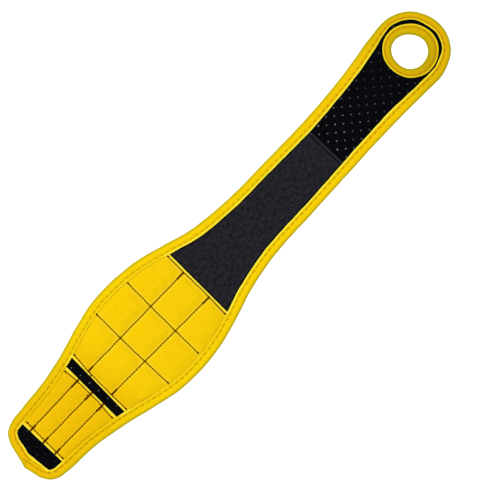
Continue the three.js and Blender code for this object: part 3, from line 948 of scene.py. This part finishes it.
def tape_rings(points, inward, widths, places, light, inset=0.0, rise=0.0, crease=0.0):
    """Rings of the folded tape's section along a line: its outer skin, its inner skin and its tints, which
    hold painted highlight and shade. light is the strength of the lip's painted highlight. inset, rise and
    crease move the fold in, the upper side up and the middle of the upper side down, ring by ring; crease
    also adds painted shade along it."""
    skin = np.array(TAPE_SKIN)
    d, z = skin.T
    scale = (widths - TAPE_FOLD) / (SECTION_WIDTH - TAPE_FOLD)
    reach = np.minimum(d, TAPE_FOLD) + np.maximum(d - TAPE_FOLD, 0) * scale[:, None]
    on_top = z > 2.0
    lip, fold = smooth(d, *TAPE_LIP), 1 - smooth(d, *TAPE_EDGE)
    groove, crown, groove_shade = (hump(d, *place) for place in (STITCH_GROOVE, TAPE_CROWN, STITCH_GROOVE_SHADE))

    def wavering(kind):
        size, lengths, seed = TAPE_WANDER[kind]
        return size * wander(places, lengths, seed)[:, None]

    phase = np.cos(2 * np.pi * places / BINDING_STITCH_LENGTH)[:, None]
    height = phase * (STITCH_CROWN * crown - STITCH_PULL * groove)
    height = height + wavering("crown") * crown + wavering("lip_height") * lip
    reach = reach + wavering("lip_reach") * lip * np.where(on_top, 1, -1) + wavering("fold") * fold
    inset, rise, crease, light = (
        np.broadcast_to(value, len(places))[:, None] for value in (inset, rise, crease, light)
    )
    reach = reach + inset * np.clip(1 - d / 8, 0, 1)
    up = rise * np.clip(z / 4.2, 0, 1) - CREASE_DEPTH * crease * crown
    z = np.maximum(z + height * np.where(on_top, 1.0, -0.5), 0.0) + up
    along, upward = unit(np.gradient(skin, axis=0)).T * TAPE_THICKNESS

    def placed(reach, z):
        flat = points[:, None] + inward[:, None] * reach[..., None]
        return np.concatenate([flat, z[..., None]], -1)

    # Painted shade on the outer fold, turned from the lamp, and in the stitch groove, which is also warmer;
    # a painted highlight on the upper lip; painted shade along a crease.
    shade = 0.65 * (1 - smooth(d, 0, 1.6)) + 0.38 * (1 - smooth(d, 1.0, 3.0))
    tone_and_painted_light = light * lip * on_top - shade - 0.38 * groove_shade - 0.5 * crease * (1 - lip)
    warmth = 0.5 * plateau(d, (0.6, 2.8), (5.8, 6.9)) + 0.5 * groove_shade
    tint = np.stack(np.broadcast_arrays(tone_and_painted_light, warmth), -1)
    return placed(reach, z), placed(reach - upward, z + along), tint


def tape_body(outer, inner, places, tint, closed=False):
    """A closed body of tape between its outer and inner skins: vertices, faces, cloth places and tints. A
    closed line runs with the band on its right and an open one with it on its left, so their faces turn
    opposite ways."""
    rings, across = outer.shape[:2]
    section = np.concatenate([outer, inner[:, ::-1]], 1)
    width = section.shape[1]
    last = (rings - 1) * width
    quads = grid_faces(rings, width, wrap=True)
    if closed:
        ring = np.arange(width)
        after = np.roll(ring, -1)
        faces = [quads, np.stack([ring + last, ring, after, after + last], 1)]
    else:
        j = np.arange(across - 1)
        cap = np.stack([j, j + 1, width - 2 - j, width - 1 - j], 1)
        faces = [quads[:, ::-1], cap[:, ::-1], cap + last]
    round_skin = run_lengths(np.array(TAPE_SKIN))
    v = np.concatenate([round_skin, round_skin[::-1]])
    uv = np.stack(np.broadcast_arrays(places[:, None], v), -1).reshape(-1, 2)
    tint = np.concatenate([tint, tint * 0], 1).reshape(-1, 2)
    return section.reshape(-1, 3), np.concatenate(faces), uv, tint


def joined(bodies):
    """Several bodies as one: their vertices, their faces and what else goes with the vertices."""
    vertices, faces, *others = zip(*bodies)
    firsts = np.cumsum([0, *map(len, vertices)])
    faces = np.concatenate([quads + first for quads, first in zip(faces, firsts)])
    return np.concatenate(vertices), faces, *map(np.concatenate, others)


def place_on_rim(side, x):
    return float(np.interp(x, RIM[RIM_HALF[side], 0], HALF_PLACES[side]))


def tape_places(side, bend):
    """Places along the rim from one cut to the next, rising, on one side of a part."""
    tail_end = -LAP_OVER if side < 0 else RIM_LENGTH + LAP_UNDER
    at_tail = tail_end if bend is BENDS[0] else place_on_rim(side, bend.start)
    at_loop = RIM_PLACE[LOOP_END] if bend is BENDS[-1] else place_on_rim(side, bend.stop)
    start, stop = sorted((at_tail, at_loop))
    return np.linspace(start, stop, max(2, round((stop - start) / TAPE_STEP)) + 1)


def lap_share(places):
    """How far the upper tape end is lifted at places right of the tail's tip, from 1 at its end to 0."""
    return 1 - smooth(places, 0, LAP_FADE)


def painted_lip_highlight(x):
    """Strength of the painted highlight on the lip: full beside the black cloth and weaker beside the yellow
    covers.
    """
    return 1 - COVERED_LIP_LOSS * sum(plateau(x, *reach) for reach in COVER_REACHES)


def rim_shade(x):
    """Painted shade: the cloth is darker at the tail and round the thumb loop, where the light falls off."""
    return 0.12 * (1 - smooth(x, 60, 110)) + 0.30 * smooth(x, 375, 415)


def dye(x):
    """The tape is a little warmer there too."""
    at_tail = 0.5 * (1 - smooth(x, 50, 100)) + 0.3 * (1 - smooth(x, 10, 45))
    return at_tail + 0.4 * smooth(x, 310, 350) + 0.5 * smooth(x, 395, 440)


def tail_tip_moves(side, places):
    """How the two tape ends differ from the plain run where they lap."""
    if side < 0:
        lap = lap_share(places)
        return {"rise": LAP_RISE * lap, "crease": hump(places, -1.0, 0.8), "inset": -0.08 * lap}
    under = smooth(places, RIM_LENGTH - LAP_OVER - 1, RIM_LENGTH - LAP_OVER + 2)
    return {"inset": 0.45 * under, "rise": -0.1 * under}


def add_tape(name, bend, vertices, faces, uv, tint):
    return make_piece(name, bend, "binding", vertices, faces, [TAPE], uv=uv, tint=tint, sharp=60)


def add_edge_binding(bend):
    bodies = []
    for side in (-1, 1):
        places = tape_places(side, bend)
        points, inward, widths = (lower_tape if side > 0 else upper_tape)(places)
        x = points[:, 0]
        # The lip's painted highlight, faded in on the upper tape past the lap
        light = painted_lip_highlight(x) * (1 if side > 0 else smooth(places, 8, 22))
        moves = tail_tip_moves(side, places) if bend is BENDS[0] else {}
        outer, inner, tint = tape_rings(points, inward, widths, places, light, **moves)
        # Painted shade towards the tail and round the thumb loop, where the tape is also warmer
        tint[..., 0] -= rim_shade(x)[:, None]
        tint[..., 1] *= dye(x)[:, None]
        bodies.append(tape_body(outer, inner, places, tint))
    return add_tape(f"edge_binding_{bend.number}", bend, *joined(bodies))


def thumb_tape(angle):
    """The fold of the thumb hole's tape at an angle: how far out it lies, the way out and the width."""
    oval = THUMB_HOLE_OVAL * np.cos(2 * (angle - THUMB_HOLE_OVAL_ANGLE))
    corners = THUMB_HOLE_CORNER * np.cos(3 * (angle - THUMB_HOLE_CORNER_ANGLE))
    widths = THUMB_TAPE_WIDTH + THUMB_TAPE_LEAN * np.cos(angle)
    return THUMB_TAPE_RADIUS + oval + corners, directions(angle), widths


def add_thumb_binding():
    angle = 2 * np.pi * np.arange(THUMB_TAPE_STEPS) / THUMB_TAPE_STEPS
    radius, outward, widths = thumb_tape(angle)
    points = THUMB_HOLE + radius[:, None] * outward
    places = angle * (THUMB_HOLE_RADIUS + TAPE_STITCH)
    outer, inner, tint = tape_rings(points, outward, widths, places, THUMB_TAPE_LIP_HIGHLIGHT)
    # Painted shade all round the ring, and more on the side turned from the lamp
    away_shade = THUMB_TAPE_AWAY_SHADE * np.maximum(np.cos(angle - THUMB_TAPE_AWAY_ANGLE), 0) ** 2
    tint *= THUMB_TAPE_TINT
    tint[..., 0] = tint[..., 0] - rim_shade(THUMB_HOLE[0]) - THUMB_TAPE_SHADE - away_shade[:, None]
    body = tape_body(outer, inner, places, tint, closed=True)
    piece = add_tape("thumb_hole_binding_tape", BENDS[-1], *body)
    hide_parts("thumb_hole_binding")


# Quilted covers

Seams = namedtuple("Seams", "seam line side nearest in_hem")


def to_binding(x, y, clearance=0.0):
    return np.minimum(inner_y(1, x, clearance) - y, y - inner_y(-1, x, clearance))


def seam_distances(cover, x, y):
    """Distances to the nearest seam across, seam along and binding, the least of them, and whether a point
    is on a hem."""
    first, last = (across_line(hem, y) for hem in cover["hems"])
    across = [first, last, *(across_line(line, y) for line in cover["across"])]
    to_seam = np.min([np.abs(x - seam) for seam in across], axis=0)
    to_line = np.min([np.abs(y - along_line(line, x)) for line in cover["along"]], axis=0)
    to_side = to_binding(x, y)
    nearest = np.min([to_seam, to_line, to_side], axis=0)
    return Seams(to_seam, to_line, to_side, nearest, (x < first) | (x > last))


def over_magnets(x, y, nearest_seam):
    """How high the cloth has to lie over the magnets in their pockets, and the seam height elsewhere."""
    spots = np.stack([x, y], -1)
    lift = np.zeros(np.shape(x))
    for name, piece in frame["nodes"].items():
        if "_magnet_" not in name:
            continue
        corners = np.array([piece.matrix_world @ v.co for v in piece.data.vertices]) / MM + MIDDLE
        centre = corners[:, :2].mean(0)
        _, _, axes = np.linalg.svd(corners[:, :2] - centre, full_matrices=False)
        half = np.abs((corners[:, :2] - centre) @ axes.T).max(0)
        off = np.abs((spots - centre) @ axes.T)
        if "_bar_" in name:
            outside = np.linalg.norm(np.maximum(off - half, 0), axis=-1)
        else:
            outside = np.maximum(np.linalg.norm(off, axis=-1) - half[0], 0)
        rise = corners[:, 2].max() + COVER_THICKNESS + MAGNET_CLEARANCE - SEAM_HEIGHT
        lift = np.maximum(lift, rise * (1 - smooth(outside, 0.5, MAGNET_SLOPE)))
    return SEAM_HEIGHT + lift * smooth(nearest_seam, 0.2, 1.2)


def gathers(distance, places, lengths, seed, size=0.14, run=2.6):
    """Small puckers that fade away from a seam."""
    return size * np.exp(-distance / run) * wander(places, lengths, seed)


def cover_height(cover, x, y):
    """The height of a cover's outer face and its tints, painted highlight and shade and warmth, at points of
    the band.
    """
    to = seam_distances(cover, x, y)
    lift = np.where(to.in_hem, 0, 1)
    for distance in (to.seam, to.line, to.side):
        lift = lift * (1 - (1 - np.clip(distance / cover["run"], 0, 1)) ** 2)
    puckers = gathers(to.seam, y, (4.3, 6.9, 10.1), 21) * smooth(to.seam, 0.2, 1.4)
    puckers = puckers + gathers(to.line, x, (4.1, 7.3, 11.3), 22) * smooth(to.line, 0.2, 1.4)
    puckers = puckers + gathers(to.side, x, (5.3, 8.9, 13.1), 23, size=0.10, run=3.0)
    broad = 0.12 * ripple(x, y, (21, 33, 47), 24) * lift
    height = SEAM_HEIGHT + (cover["height"] - SEAM_HEIGHT) * lift + puckers + broad
    height = np.maximum(height, over_magnets(x, y, to.nearest))
    low_fold, high_fold = (across_line(fold, y) for fold in cover["folds"])
    to_fold = np.minimum(x - low_fold, high_fold - x)
    roll = np.sqrt(np.clip(1 - (1 - np.clip(to_fold / HEM_ROLL, 0, 1)) ** 2, 0, 1))
    hem_crown = 0.22 * np.sin(np.pi * np.clip(to.seam / 2.0, 0, 1)) + 0.03 * wander(y, (3.1, 5.7), 25)
    hem_height = SEWN_BOTTOM + (SEAM_HEIGHT + hem_crown - SEWN_BOTTOM) * roll
    # Painted shade towards the tail, where the cover is also warmer; painted highlight beside the seams and
    # on the hems' folds; painted shade in the crease beside the binding
    towards_tail = 1 - smooth(x, 82, 104)
    seam_highlight = hump(np.minimum(to.seam, to.line), 1.3, 0.7)
    hem_fold_highlight = 0.8 * (1 - smooth(to_fold, 0.6, 1.4))
    tone_and_painted_light = np.where(to.in_hem, hem_fold_highlight, 0.22 * seam_highlight - 0.10 * towards_tail)
    tone_and_painted_light = tone_and_painted_light - 0.5 * (1 - smooth(to.side, 0.1, 1.0))
    warmth = np.where(to.in_hem, 0, 0.25 * towards_tail)
    return np.where(to.in_hem, hem_height, height), np.stack([tone_and_painted_light, warmth], -1)


def even_steps(start, stop, step):
    return np.linspace(start, stop, max(1, math.ceil((stop - start) / step)) + 1)


def shares(length, step, fine_start=False, fine_stop=False):
    """Shares from 0 to 1 for about even steps, with closer ones where the cloth rolls over at an end."""
    even = even_steps(0, length, step)
    close = np.array([0.1, 0.25, 0.45, 0.7])
    if fine_start:
        even = np.concatenate([[0], close, even[1:]])
    if fine_stop:
        even = np.concatenate([even[:-1], length - close[::-1], [length]])
    return even / length


def grid_between(start, stop, step, rows, margin, fine_start=False, fine_stop=False):
    """Points x and y that fill the band between two lines across it, up to a margin from the binding.
    start and stop give the x of those lines at each y."""
    along = shares(float(stop(0.0) - start(0.0)), step, fine_start, fine_stop)
    s, r = np.meshgrid(along, np.linspace(0, 1, rows), indexing="ij")
    y = np.zeros_like(s)
    for _ in range(4):
        x = start(y) * (1 - s) + stop(y) * s
        y = inner_y(-1, x, margin) * (1 - r) + inner_y(1, x, margin) * r
    return x, y


def parts_between(low_line, high_line):
    """The parts that a patch lies on, with the line that it starts from and the line that it ends at in
    each, and whether these are the patch's own ends."""
    low = min(x for x, _ in low_line)
    high = max(x for x, _ in high_line)
    for bend in BENDS:
        if bend.stop <= low or bend.start >= high:
            continue
        first, last = bend.start < low, bend.stop > high
        start = partial(across_line, low_line if first else [(bend.start, 0)])
        stop = partial(across_line, high_line if last else [(bend.stop, 0)])
        yield bend, start, stop, first, last


def cover_grid(cover):
    """The whole cover as one grid, and the columns that each part takes of it."""
    columns, spans = [], []
    count = 0
    for bend, start, stop, first, last in parts_between(*cover["folds"]):
        x, y = grid_between(start, stop, CLOTH_STEP, cover["rows"], COVER_MARGIN, first, last)
        spans.append((bend, slice(count, count + len(x))))
        columns.append([grid if last else grid[:-1] for grid in (x, y)])
        count += len(x) - 1
    return *(np.concatenate(parts) for parts in zip(*columns)), spans


def relaxed(points, held):
    """The cloth left to settle between its seams, cut a little larger than the space: Blender's cloth, on
    an enlarged copy that is pinned where it is sewn. Returns the points in millimetres."""
    middle = np.array([*points[..., :2].mean((0, 1)), 0])
    enlarged = (points.reshape(-1, 3) - middle) * MM * CLOTH_SCALE
    mesh = bpy.data.meshes.new("settling")
    mesh.from_pydata(enlarged.tolist(), [], grid_faces(*held.shape).tolist())
    piece = link_object("settling", mesh)
    sewn = piece.vertex_groups.new(name="sewn")
    for index in np.flatnonzero(held.ravel() > 0):
        sewn.add([int(index)], float(held.flat[index]), "REPLACE")
    cloth = piece.modifiers.new("settle", "CLOTH")
    for setting, value in CLOTH_SETTINGS.items():
        setattr(cloth.settings, setting, value)
    cloth.collision_settings.use_collision = False
    cloth.point_cache.frame_start = 1
    cloth.point_cache.frame_end = CLOTH_FRAMES
    scene = bpy.context.scene
    scene.gravity = (0, 0, CLOTH_LIFT)
    for moment in range(1, CLOTH_FRAMES + 1):
        scene.frame_set(moment)
    settled = piece.evaluated_get(bpy.context.evaluated_depsgraph_get()).to_mesh()
    result = np.zeros(enlarged.size, np.float32)
    settled.vertices.foreach_get("co", result)
    bpy.data.objects.remove(piece)
    bpy.data.meshes.remove(mesh)
    scene.frame_set(1)
    scene.gravity = (0, 0, -9.81)
    return result.reshape(points.shape) / (MM * CLOTH_SCALE) + middle


def settle_cover(cover, x, y, height):
    """The cover's outer face after its cloth has settled, never further from the drawn pillow than a cap."""
    to = seam_distances(cover, x, y)
    held = np.where(to.in_hem, 1.0, np.clip(1.6 - to.nearest / CLOTH_STEP, 0, 1))
    change = relaxed(lifted(x, y, height), held)[..., 2] - height
    for _ in range(2):
        around = change[:-2, 1:-1] + change[2:, 1:-1] + change[1:-1, :-2] + change[1:-1, 2:]
        change[1:-1, 1:-1] = change[1:-1, 1:-1] * 0.5 + around * 0.125
    settled = height + np.clip(change, -CLOTH_CAP, CLOTH_CAP) * np.clip(to.nearest, 0, 1) * ~to.in_hem
    return np.maximum(settled, np.where(to.in_hem, 0, over_magnets(x, y, to.nearest)))


def add_cover(cover, name, kind):
    x, y, spans = cover_grid(cover)
    height, tints = cover_height(cover, x, y)
    height = settle_cover(cover, x, y, height)
    top = lifted(x, y, height)
    under = lifted(x, y, np.maximum(height - COVER_THICKNESS, SEWN_BOTTOM - 0.04))
    for bend, part in spans:
        vertices, faces = closed_sheet(top[part], under[part])
        tint = tints[part].reshape(-1, 2)
        piece = make_piece(f"{name}_{bend.number}", bend, "cover", vertices, faces, [COVER],
                           uv=vertices[:, :2], tint=np.concatenate([tint, tint * 0]), sharp=60)
        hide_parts(*[old for old in nodes_in(bend, "_cover") if old.startswith(kind)])


# Patches

def add_loop_patch():
    start_line = [(x + LOOP_PATCH_MARGIN, y) for x, y in MAGNET_COVER["folds"][1]]
    for bend, start, stop, _, _ in parts_between(start_line, [(LOOP_PATCH_END, 0)]):
        x, y = grid_between(start, stop, LOOP_PATCH_STEP, LOOP_PATCH_ROWS, LOOP_PATCH_MARGIN)
        y = y + 0.10 * wander(x, (3.7, 6.1, 9.7), 31)
        to_side = to_binding(x, y, LOOP_PATCH_MARGIN) + 0.1
        to_end = np.minimum(x - across_line(start_line, y), LOOP_PATCH_END - x)
        rounding = np.sqrt(np.clip(np.minimum(to_side, to_end) / 0.8, 0.02, 1))
        pile = 0.10 * ripple(x, y, (2.1, 2.9, 3.7, 5.3), 32) + 0.07 * ripple(x, y, (9, 14, 23), 33)
        groove = hump(x, LOOP_PATCH_GROOVE, 0.45)
        selvage = smooth(x, LOOP_PATCH_GROOVE + 0.3, LOOP_PATCH_GROOVE + 0.9)
        height = LOOP_PATCH_TOP - 0.05 + pile * (1 - selvage) - SEWN_BOTTOM
        z = np.maximum(SEWN_BOTTOM + height * rounding - 0.7 * groove, SEWN_BOTTOM + 0.03)
        vertices, faces = closed_sheet(lifted(x, y, z), lifted(x, y, SEWN_BOTTOM))
        # The selvage is lighter in its own colour; the groove gets painted shade
        tone_and_painted_light = np.stack([1.5 * selvage - 2.2 * groove, groove * 0])
        piece = make_piece(f"loop_patch_{bend.number}", bend, "loop_patch", vertices, faces, [LOOP_PILE],
                           uv=vertices[:, :2], tint=tone_and_painted_light, sharp=60)
        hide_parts(*nodes_in(bend, "_loop_patch"))


def add_hook_patch(bend):
    start, stop = max(HOOK_X[0], bend.start), min(HOOK_X[1], bend.stop)
    if start >= stop:
        return
    ranges = ((start, stop), HOOK_Y)
    steps = [even_steps(*reach, step) for reach, step in zip(ranges, HOOK_TAPE_GRID)]
    x, y = np.meshgrid(*steps, indexing="ij")
    bodies = [closed_sheet(lifted(x, y, HOOK_TAPE_TOP), lifted(x, y, HOOK_TAPE_BOTTOM))]
    lowest, highest = math.ceil((HOOK_Y[0] + 1) / HOOK_PITCH), math.floor((HOOK_Y[1] - 1) / HOOK_PITCH)
    for i in range(math.ceil(start / HOOK_PITCH), math.ceil(stop / HOOK_PITCH)):
        for j in range(lowest, highest):
            place = (i * HOOK_PITCH + 0.4, (j + 0.5 * (i % 2)) * HOOK_PITCH)
            bodies.append(hook(*place, 1 if (i + j) % 2 else -1))
    piece = make_piece(f"hook_patch_{bend.number}", bend, "hook_patch", *joined(bodies), [HOOK_PLASTIC])
    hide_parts("tail_hook_patch")


def hook(x, y, way):
    """One moulded hook: a thin stem that leans over at its tip."""
    rings = [
        (x + way * lean + a * half, y + b * HOOK_HALF_ACROSS, z)
        for lean, z, half in HOOK_STEM for a, b in SQUARE
    ]
    sides = grid_faces(len(HOOK_STEM), len(SQUARE), wrap=True)
    return np.array(rings), np.concatenate([sides, [[0, 1, 2, 3], [15, 14, 13, 12]]])


# Threads

STITCH_SHARES = np.array([0.0, 0.14, 0.5, 0.86, 1.0])
UPSIDE_DOWN = np.array([1, 1, -1])


def stitched(points, length=STITCH_LENGTH, gap=0.28, sink=0.16, rise=0.14):
    """Stitches along a line of close points: each dips at its ends. Returns paths of five points."""
    lengths = run_lengths(points)
    count = max(1, round(lengths[-1] / length))
    pitch = lengths[-1] / count
    starts = np.arange(count) * pitch + gap / 2
    paths = read_line(starts[:, None] + STITCH_SHARES * (pitch - gap), lengths, points)
    paths[..., 2] += np.array([-sink, rise * 0.6, rise, rise * 0.6, -sink])
    return paths


def stitches_underneath(points, **settings):
    return stitched(points * UPSIDE_DOWN, **settings) * UPSIDE_DOWN


def part_of(paths, bend):
    """The stitches whose middle lies between the cuts of a part."""
    middle = paths[:, paths.shape[1] // 2, 0]
    return paths[(middle >= bend.start) & (middle < bend.stop)]


def binding_seam():
    """Stitches of the edge binding and of the thumb hole's, on both faces."""
    def stitch_distance(widths):
        stretch = (widths - TAPE_FOLD) / (SECTION_WIDTH - TAPE_FOLD)
        return (TAPE_FOLD + (TAPE_STITCH - TAPE_FOLD) * stretch)[:, None]

    places = np.arange(-LAP_OVER + 0.5, RIM_LENGTH - LAP_OVER + 1, 0.5)
    points, inward, widths = upper_tape(places)
    line = points + inward * stitch_distance(widths)
    radius, outward, widths = thumb_tape(np.linspace(0, 2 * np.pi, 200))
    ring = THUMB_HOLE + (radius[:, None] + stitch_distance(widths)) * outward
    settings = {"length": BINDING_STITCH_LENGTH, "gap": BINDING_STITCH_GAP, "sink": 0.2}
    paths = []
    for flat, rise in ((line, LAP_RISE * lap_share(places)), (ring, 0)):
        paths.append(stitched(lifted(*flat.T, TAPE_SEAM_TOP + rise), rise=0.10, **settings))
        paths.append(stitches_underneath(lifted(*flat.T, TAPE_SEAM_BOTTOM), rise=0.04, **settings))
    return np.concatenate(paths)


def quilting_lines():
    """The quilting lines of both covers: the points x and y from one end to the other."""
    for cover in (TAIL_COVER, MAGNET_COVER):
        for number, line in enumerate((*cover["hems"], *cover["across"])):
            ends = [y for _, y in line]
            y = np.linspace(min(ends), max(ends), 120)
            yield across_line(line, y) + 0.14 * wander(y, (9, 13, 21), number), y
        x = np.linspace(*cover["lines"], 160)
        for number, line in enumerate(cover["along"]):
            yield x, along_line(line, x) + 0.16 * wander(x, (17, 31), 50 + number)


def tacks():
    """Short stretches sewn back and forth where the lines along the covers end, and the knots of those
    across."""
    stretches = []
    for cover in (TAIL_COVER, MAGNET_COVER):
        for line in cover["along"]:
            for reach in cover["tacks"]:
                x = np.linspace(*reach, 30)
                stretches.append((x, along_line(line, x), TACK_STITCH, cover["tack_rows"]))
        for line in (*cover["hems"], *cover["across"]):
            ends = sorted(y for _, y in line)
            for end, inward in ((ends[0], 1), (ends[-1], -1)):
                y = np.linspace(end, end + KNOT_STITCH * inward, 8)
                stretches.append((across_line(line, y), y, KNOT_STITCH, KNOT_ROWS))
    paths = []
    for number, (x, y, length, shifts) in enumerate(stretches):
        sideways = unit(np.stack([-np.gradient(y), np.gradient(x)], 1))
        for shift in shifts:
            wave = shift + 0.08 * wander(x + y, (3.1, 5.3), number)
            flat = np.stack([x, y], 1) + sideways * wave[:, None]
            paths.append(stitched(lifted(*flat.T, TACK_HEIGHT), length=length, gap=0.1))
    return np.concatenate(paths)


def loose_ends():
    """Cut ends of thread left beside the seams."""
    share = np.linspace(0, 1, 5)
    bow = np.sin(np.pi * share)
    paths = []
    for (x, y), (end_x, end_y) in THREAD_ENDS:
        along, beside = x * (1 - share) + end_x * share, y * (1 - share) + end_y * share
        paths.append(lifted(along + 0.35 * bow, beside, LOOSE_END_HEIGHT + 0.25 * bow))
    return np.array(paths)


def quilting():
    above, below = [], []
    for x, y in quilting_lines():
        above.append(stitched(lifted(x, y, QUILTING_HEIGHT), gap=0.12, sink=0.2))
        below.append(stitches_underneath(lifted(x, y, neoprene_under(x, y)), gap=0.5, rise=0.08))
    return np.concatenate([*above, tacks(), loose_ends(), *below])


def patch_seam():
    y = np.linspace(*PATCH_SEAM_SPAN, 60)
    wave = 0.1 * wander(y, (7, 13), 41)
    lines = [lifted(x + wave, y, height) for x, height in PATCH_SEAMS]
    return np.concatenate([stitched(line, gap=0.7, rise=0.08, sink=0.25) for line in lines])


def add_threads():
    kinds = (
        ("binding_thread", binding_seam(), BINDING_THREAD, BINDING_THREAD_RADIUS, "binding"),
        ("quilting_thread", quilting(), QUILT_THREAD, QUILT_THREAD_RADIUS, "cover"),
        ("patch_thread", patch_seam(), DARK_THREAD, PATCH_THREAD_RADIUS, "loop_patch"),
    )
    for bend in BENDS:
        for name, paths, material, radius, slot in kinds:
            mine = part_of(paths, bend)
            if len(mine):
                make_piece(f"{name}_{bend.number}", bend, slot, *tubes(mine, radius), [material])


# Putting it together

def nodes_in(bend, ending):
    """CAD nodes of a kind on the two bodies that a part lies on."""
    return [name for body in (bend.low, bend.high) for name in frame["record"]["behaviour"]["bodies"][body]
            if name.endswith(ending)]


def add_band():
    for bend in BENDS:
        neoprene = add_neoprene(bend)
        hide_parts(*nodes_in(bend, "_base"))
        binding = add_edge_binding(bend)
        sides = ("_binding_left", "_binding_right", "tab_binding", "loop_binding")
        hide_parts(*[name for ending in sides for name in nodes_in(bend, ending)])
        add_hook_patch(bend)
    add_thumb_binding()
    add_cover(TAIL_COVER, "tail_cover_cloth", "tail")
    add_cover(MAGNET_COVER, "magnet_cover_cloth", "row")
    add_loop_patch()
    add_threads()


def finish_magnets():
    for name, piece in frame["nodes"].items():
        if "_magnet_" in name:
            piece.data.materials.clear()
            piece.data.materials.append(NICKEL)


def add_camera():
    """Straight above, turned so that the band lies as in the photograph."""
    camera = bpy.data.cameras.new("camera")
    camera.lens = CAMERA_LENS
    camera.sensor_width = CAMERA_SENSOR
    distance = max(IMAGE_SIZE) * MM_PER_PIXEL * MM * CAMERA_LENS / CAMERA_SENSOR
    place = link_object("camera", camera)
    place.location = Vector(to_row(IMAGE_MIDDLE_ON_BAND)) + Vector((0, 0, distance))
    place.rotation_euler = (0, 0, -math.radians(BAND_ANGLE_IN_IMAGE))
    bpy.context.scene.camera = place


def add_light(name, position, size, power):
    lamp = bpy.data.lights.new(name, "AREA")
    lamp.shape = "DISK"
    lamp.size = size
    lamp.energy = power
    place = link_object(name, lamp)
    place.location = position
    place.rotation_mode = "QUATERNION"
    place.rotation_quaternion = (-Vector(position)).to_track_quat("-Z", "Y")


def add_studio():
    """A white surround, one soft lamp and a sheet of paper far below the band."""
    scene = bpy.context.scene
    scene.view_settings.view_transform = "Standard"
    scene.world = bpy.data.worlds.new("studio")
    scene.world.use_nodes = True
    tree = scene.world.node_tree
    fill_sockets(tree, tree.nodes["Background"], {"Color": (1, 1, 1), "Strength": SURROUND_STRENGTH})
    add_light("key", LAMP_PLACE, LAMP_SIZE, LAMP_POWER)
    mesh = bpy.data.meshes.new("floor")
    corners = [(x * FLOOR_HALF, y * FLOOR_HALF, FLOOR_HEIGHT) for x, y in SQUARE]
    mesh.from_pydata(corners, [], [(0, 1, 2, 3)])
    paper, tree = surface("paper", 0.5, 0.0)
    fill_sockets(tree, tree.nodes["Principled BSDF"], {
        "Base Color": (0.9, 0.9, 0.9), "Emission Color": (1, 1, 1), "Emission Strength": PAPER_GLOW,
    })
    mesh.materials.append(paper)
    link_object("floor", mesh)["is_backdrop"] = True


add_camera()
add_studio()
add_band()
finish_magnets()

visual_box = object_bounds()
boxes = {"cad": cad_box, "visual": visual_box}
{name: [list(corner) for corner in box] for name, box in boxes.items()}
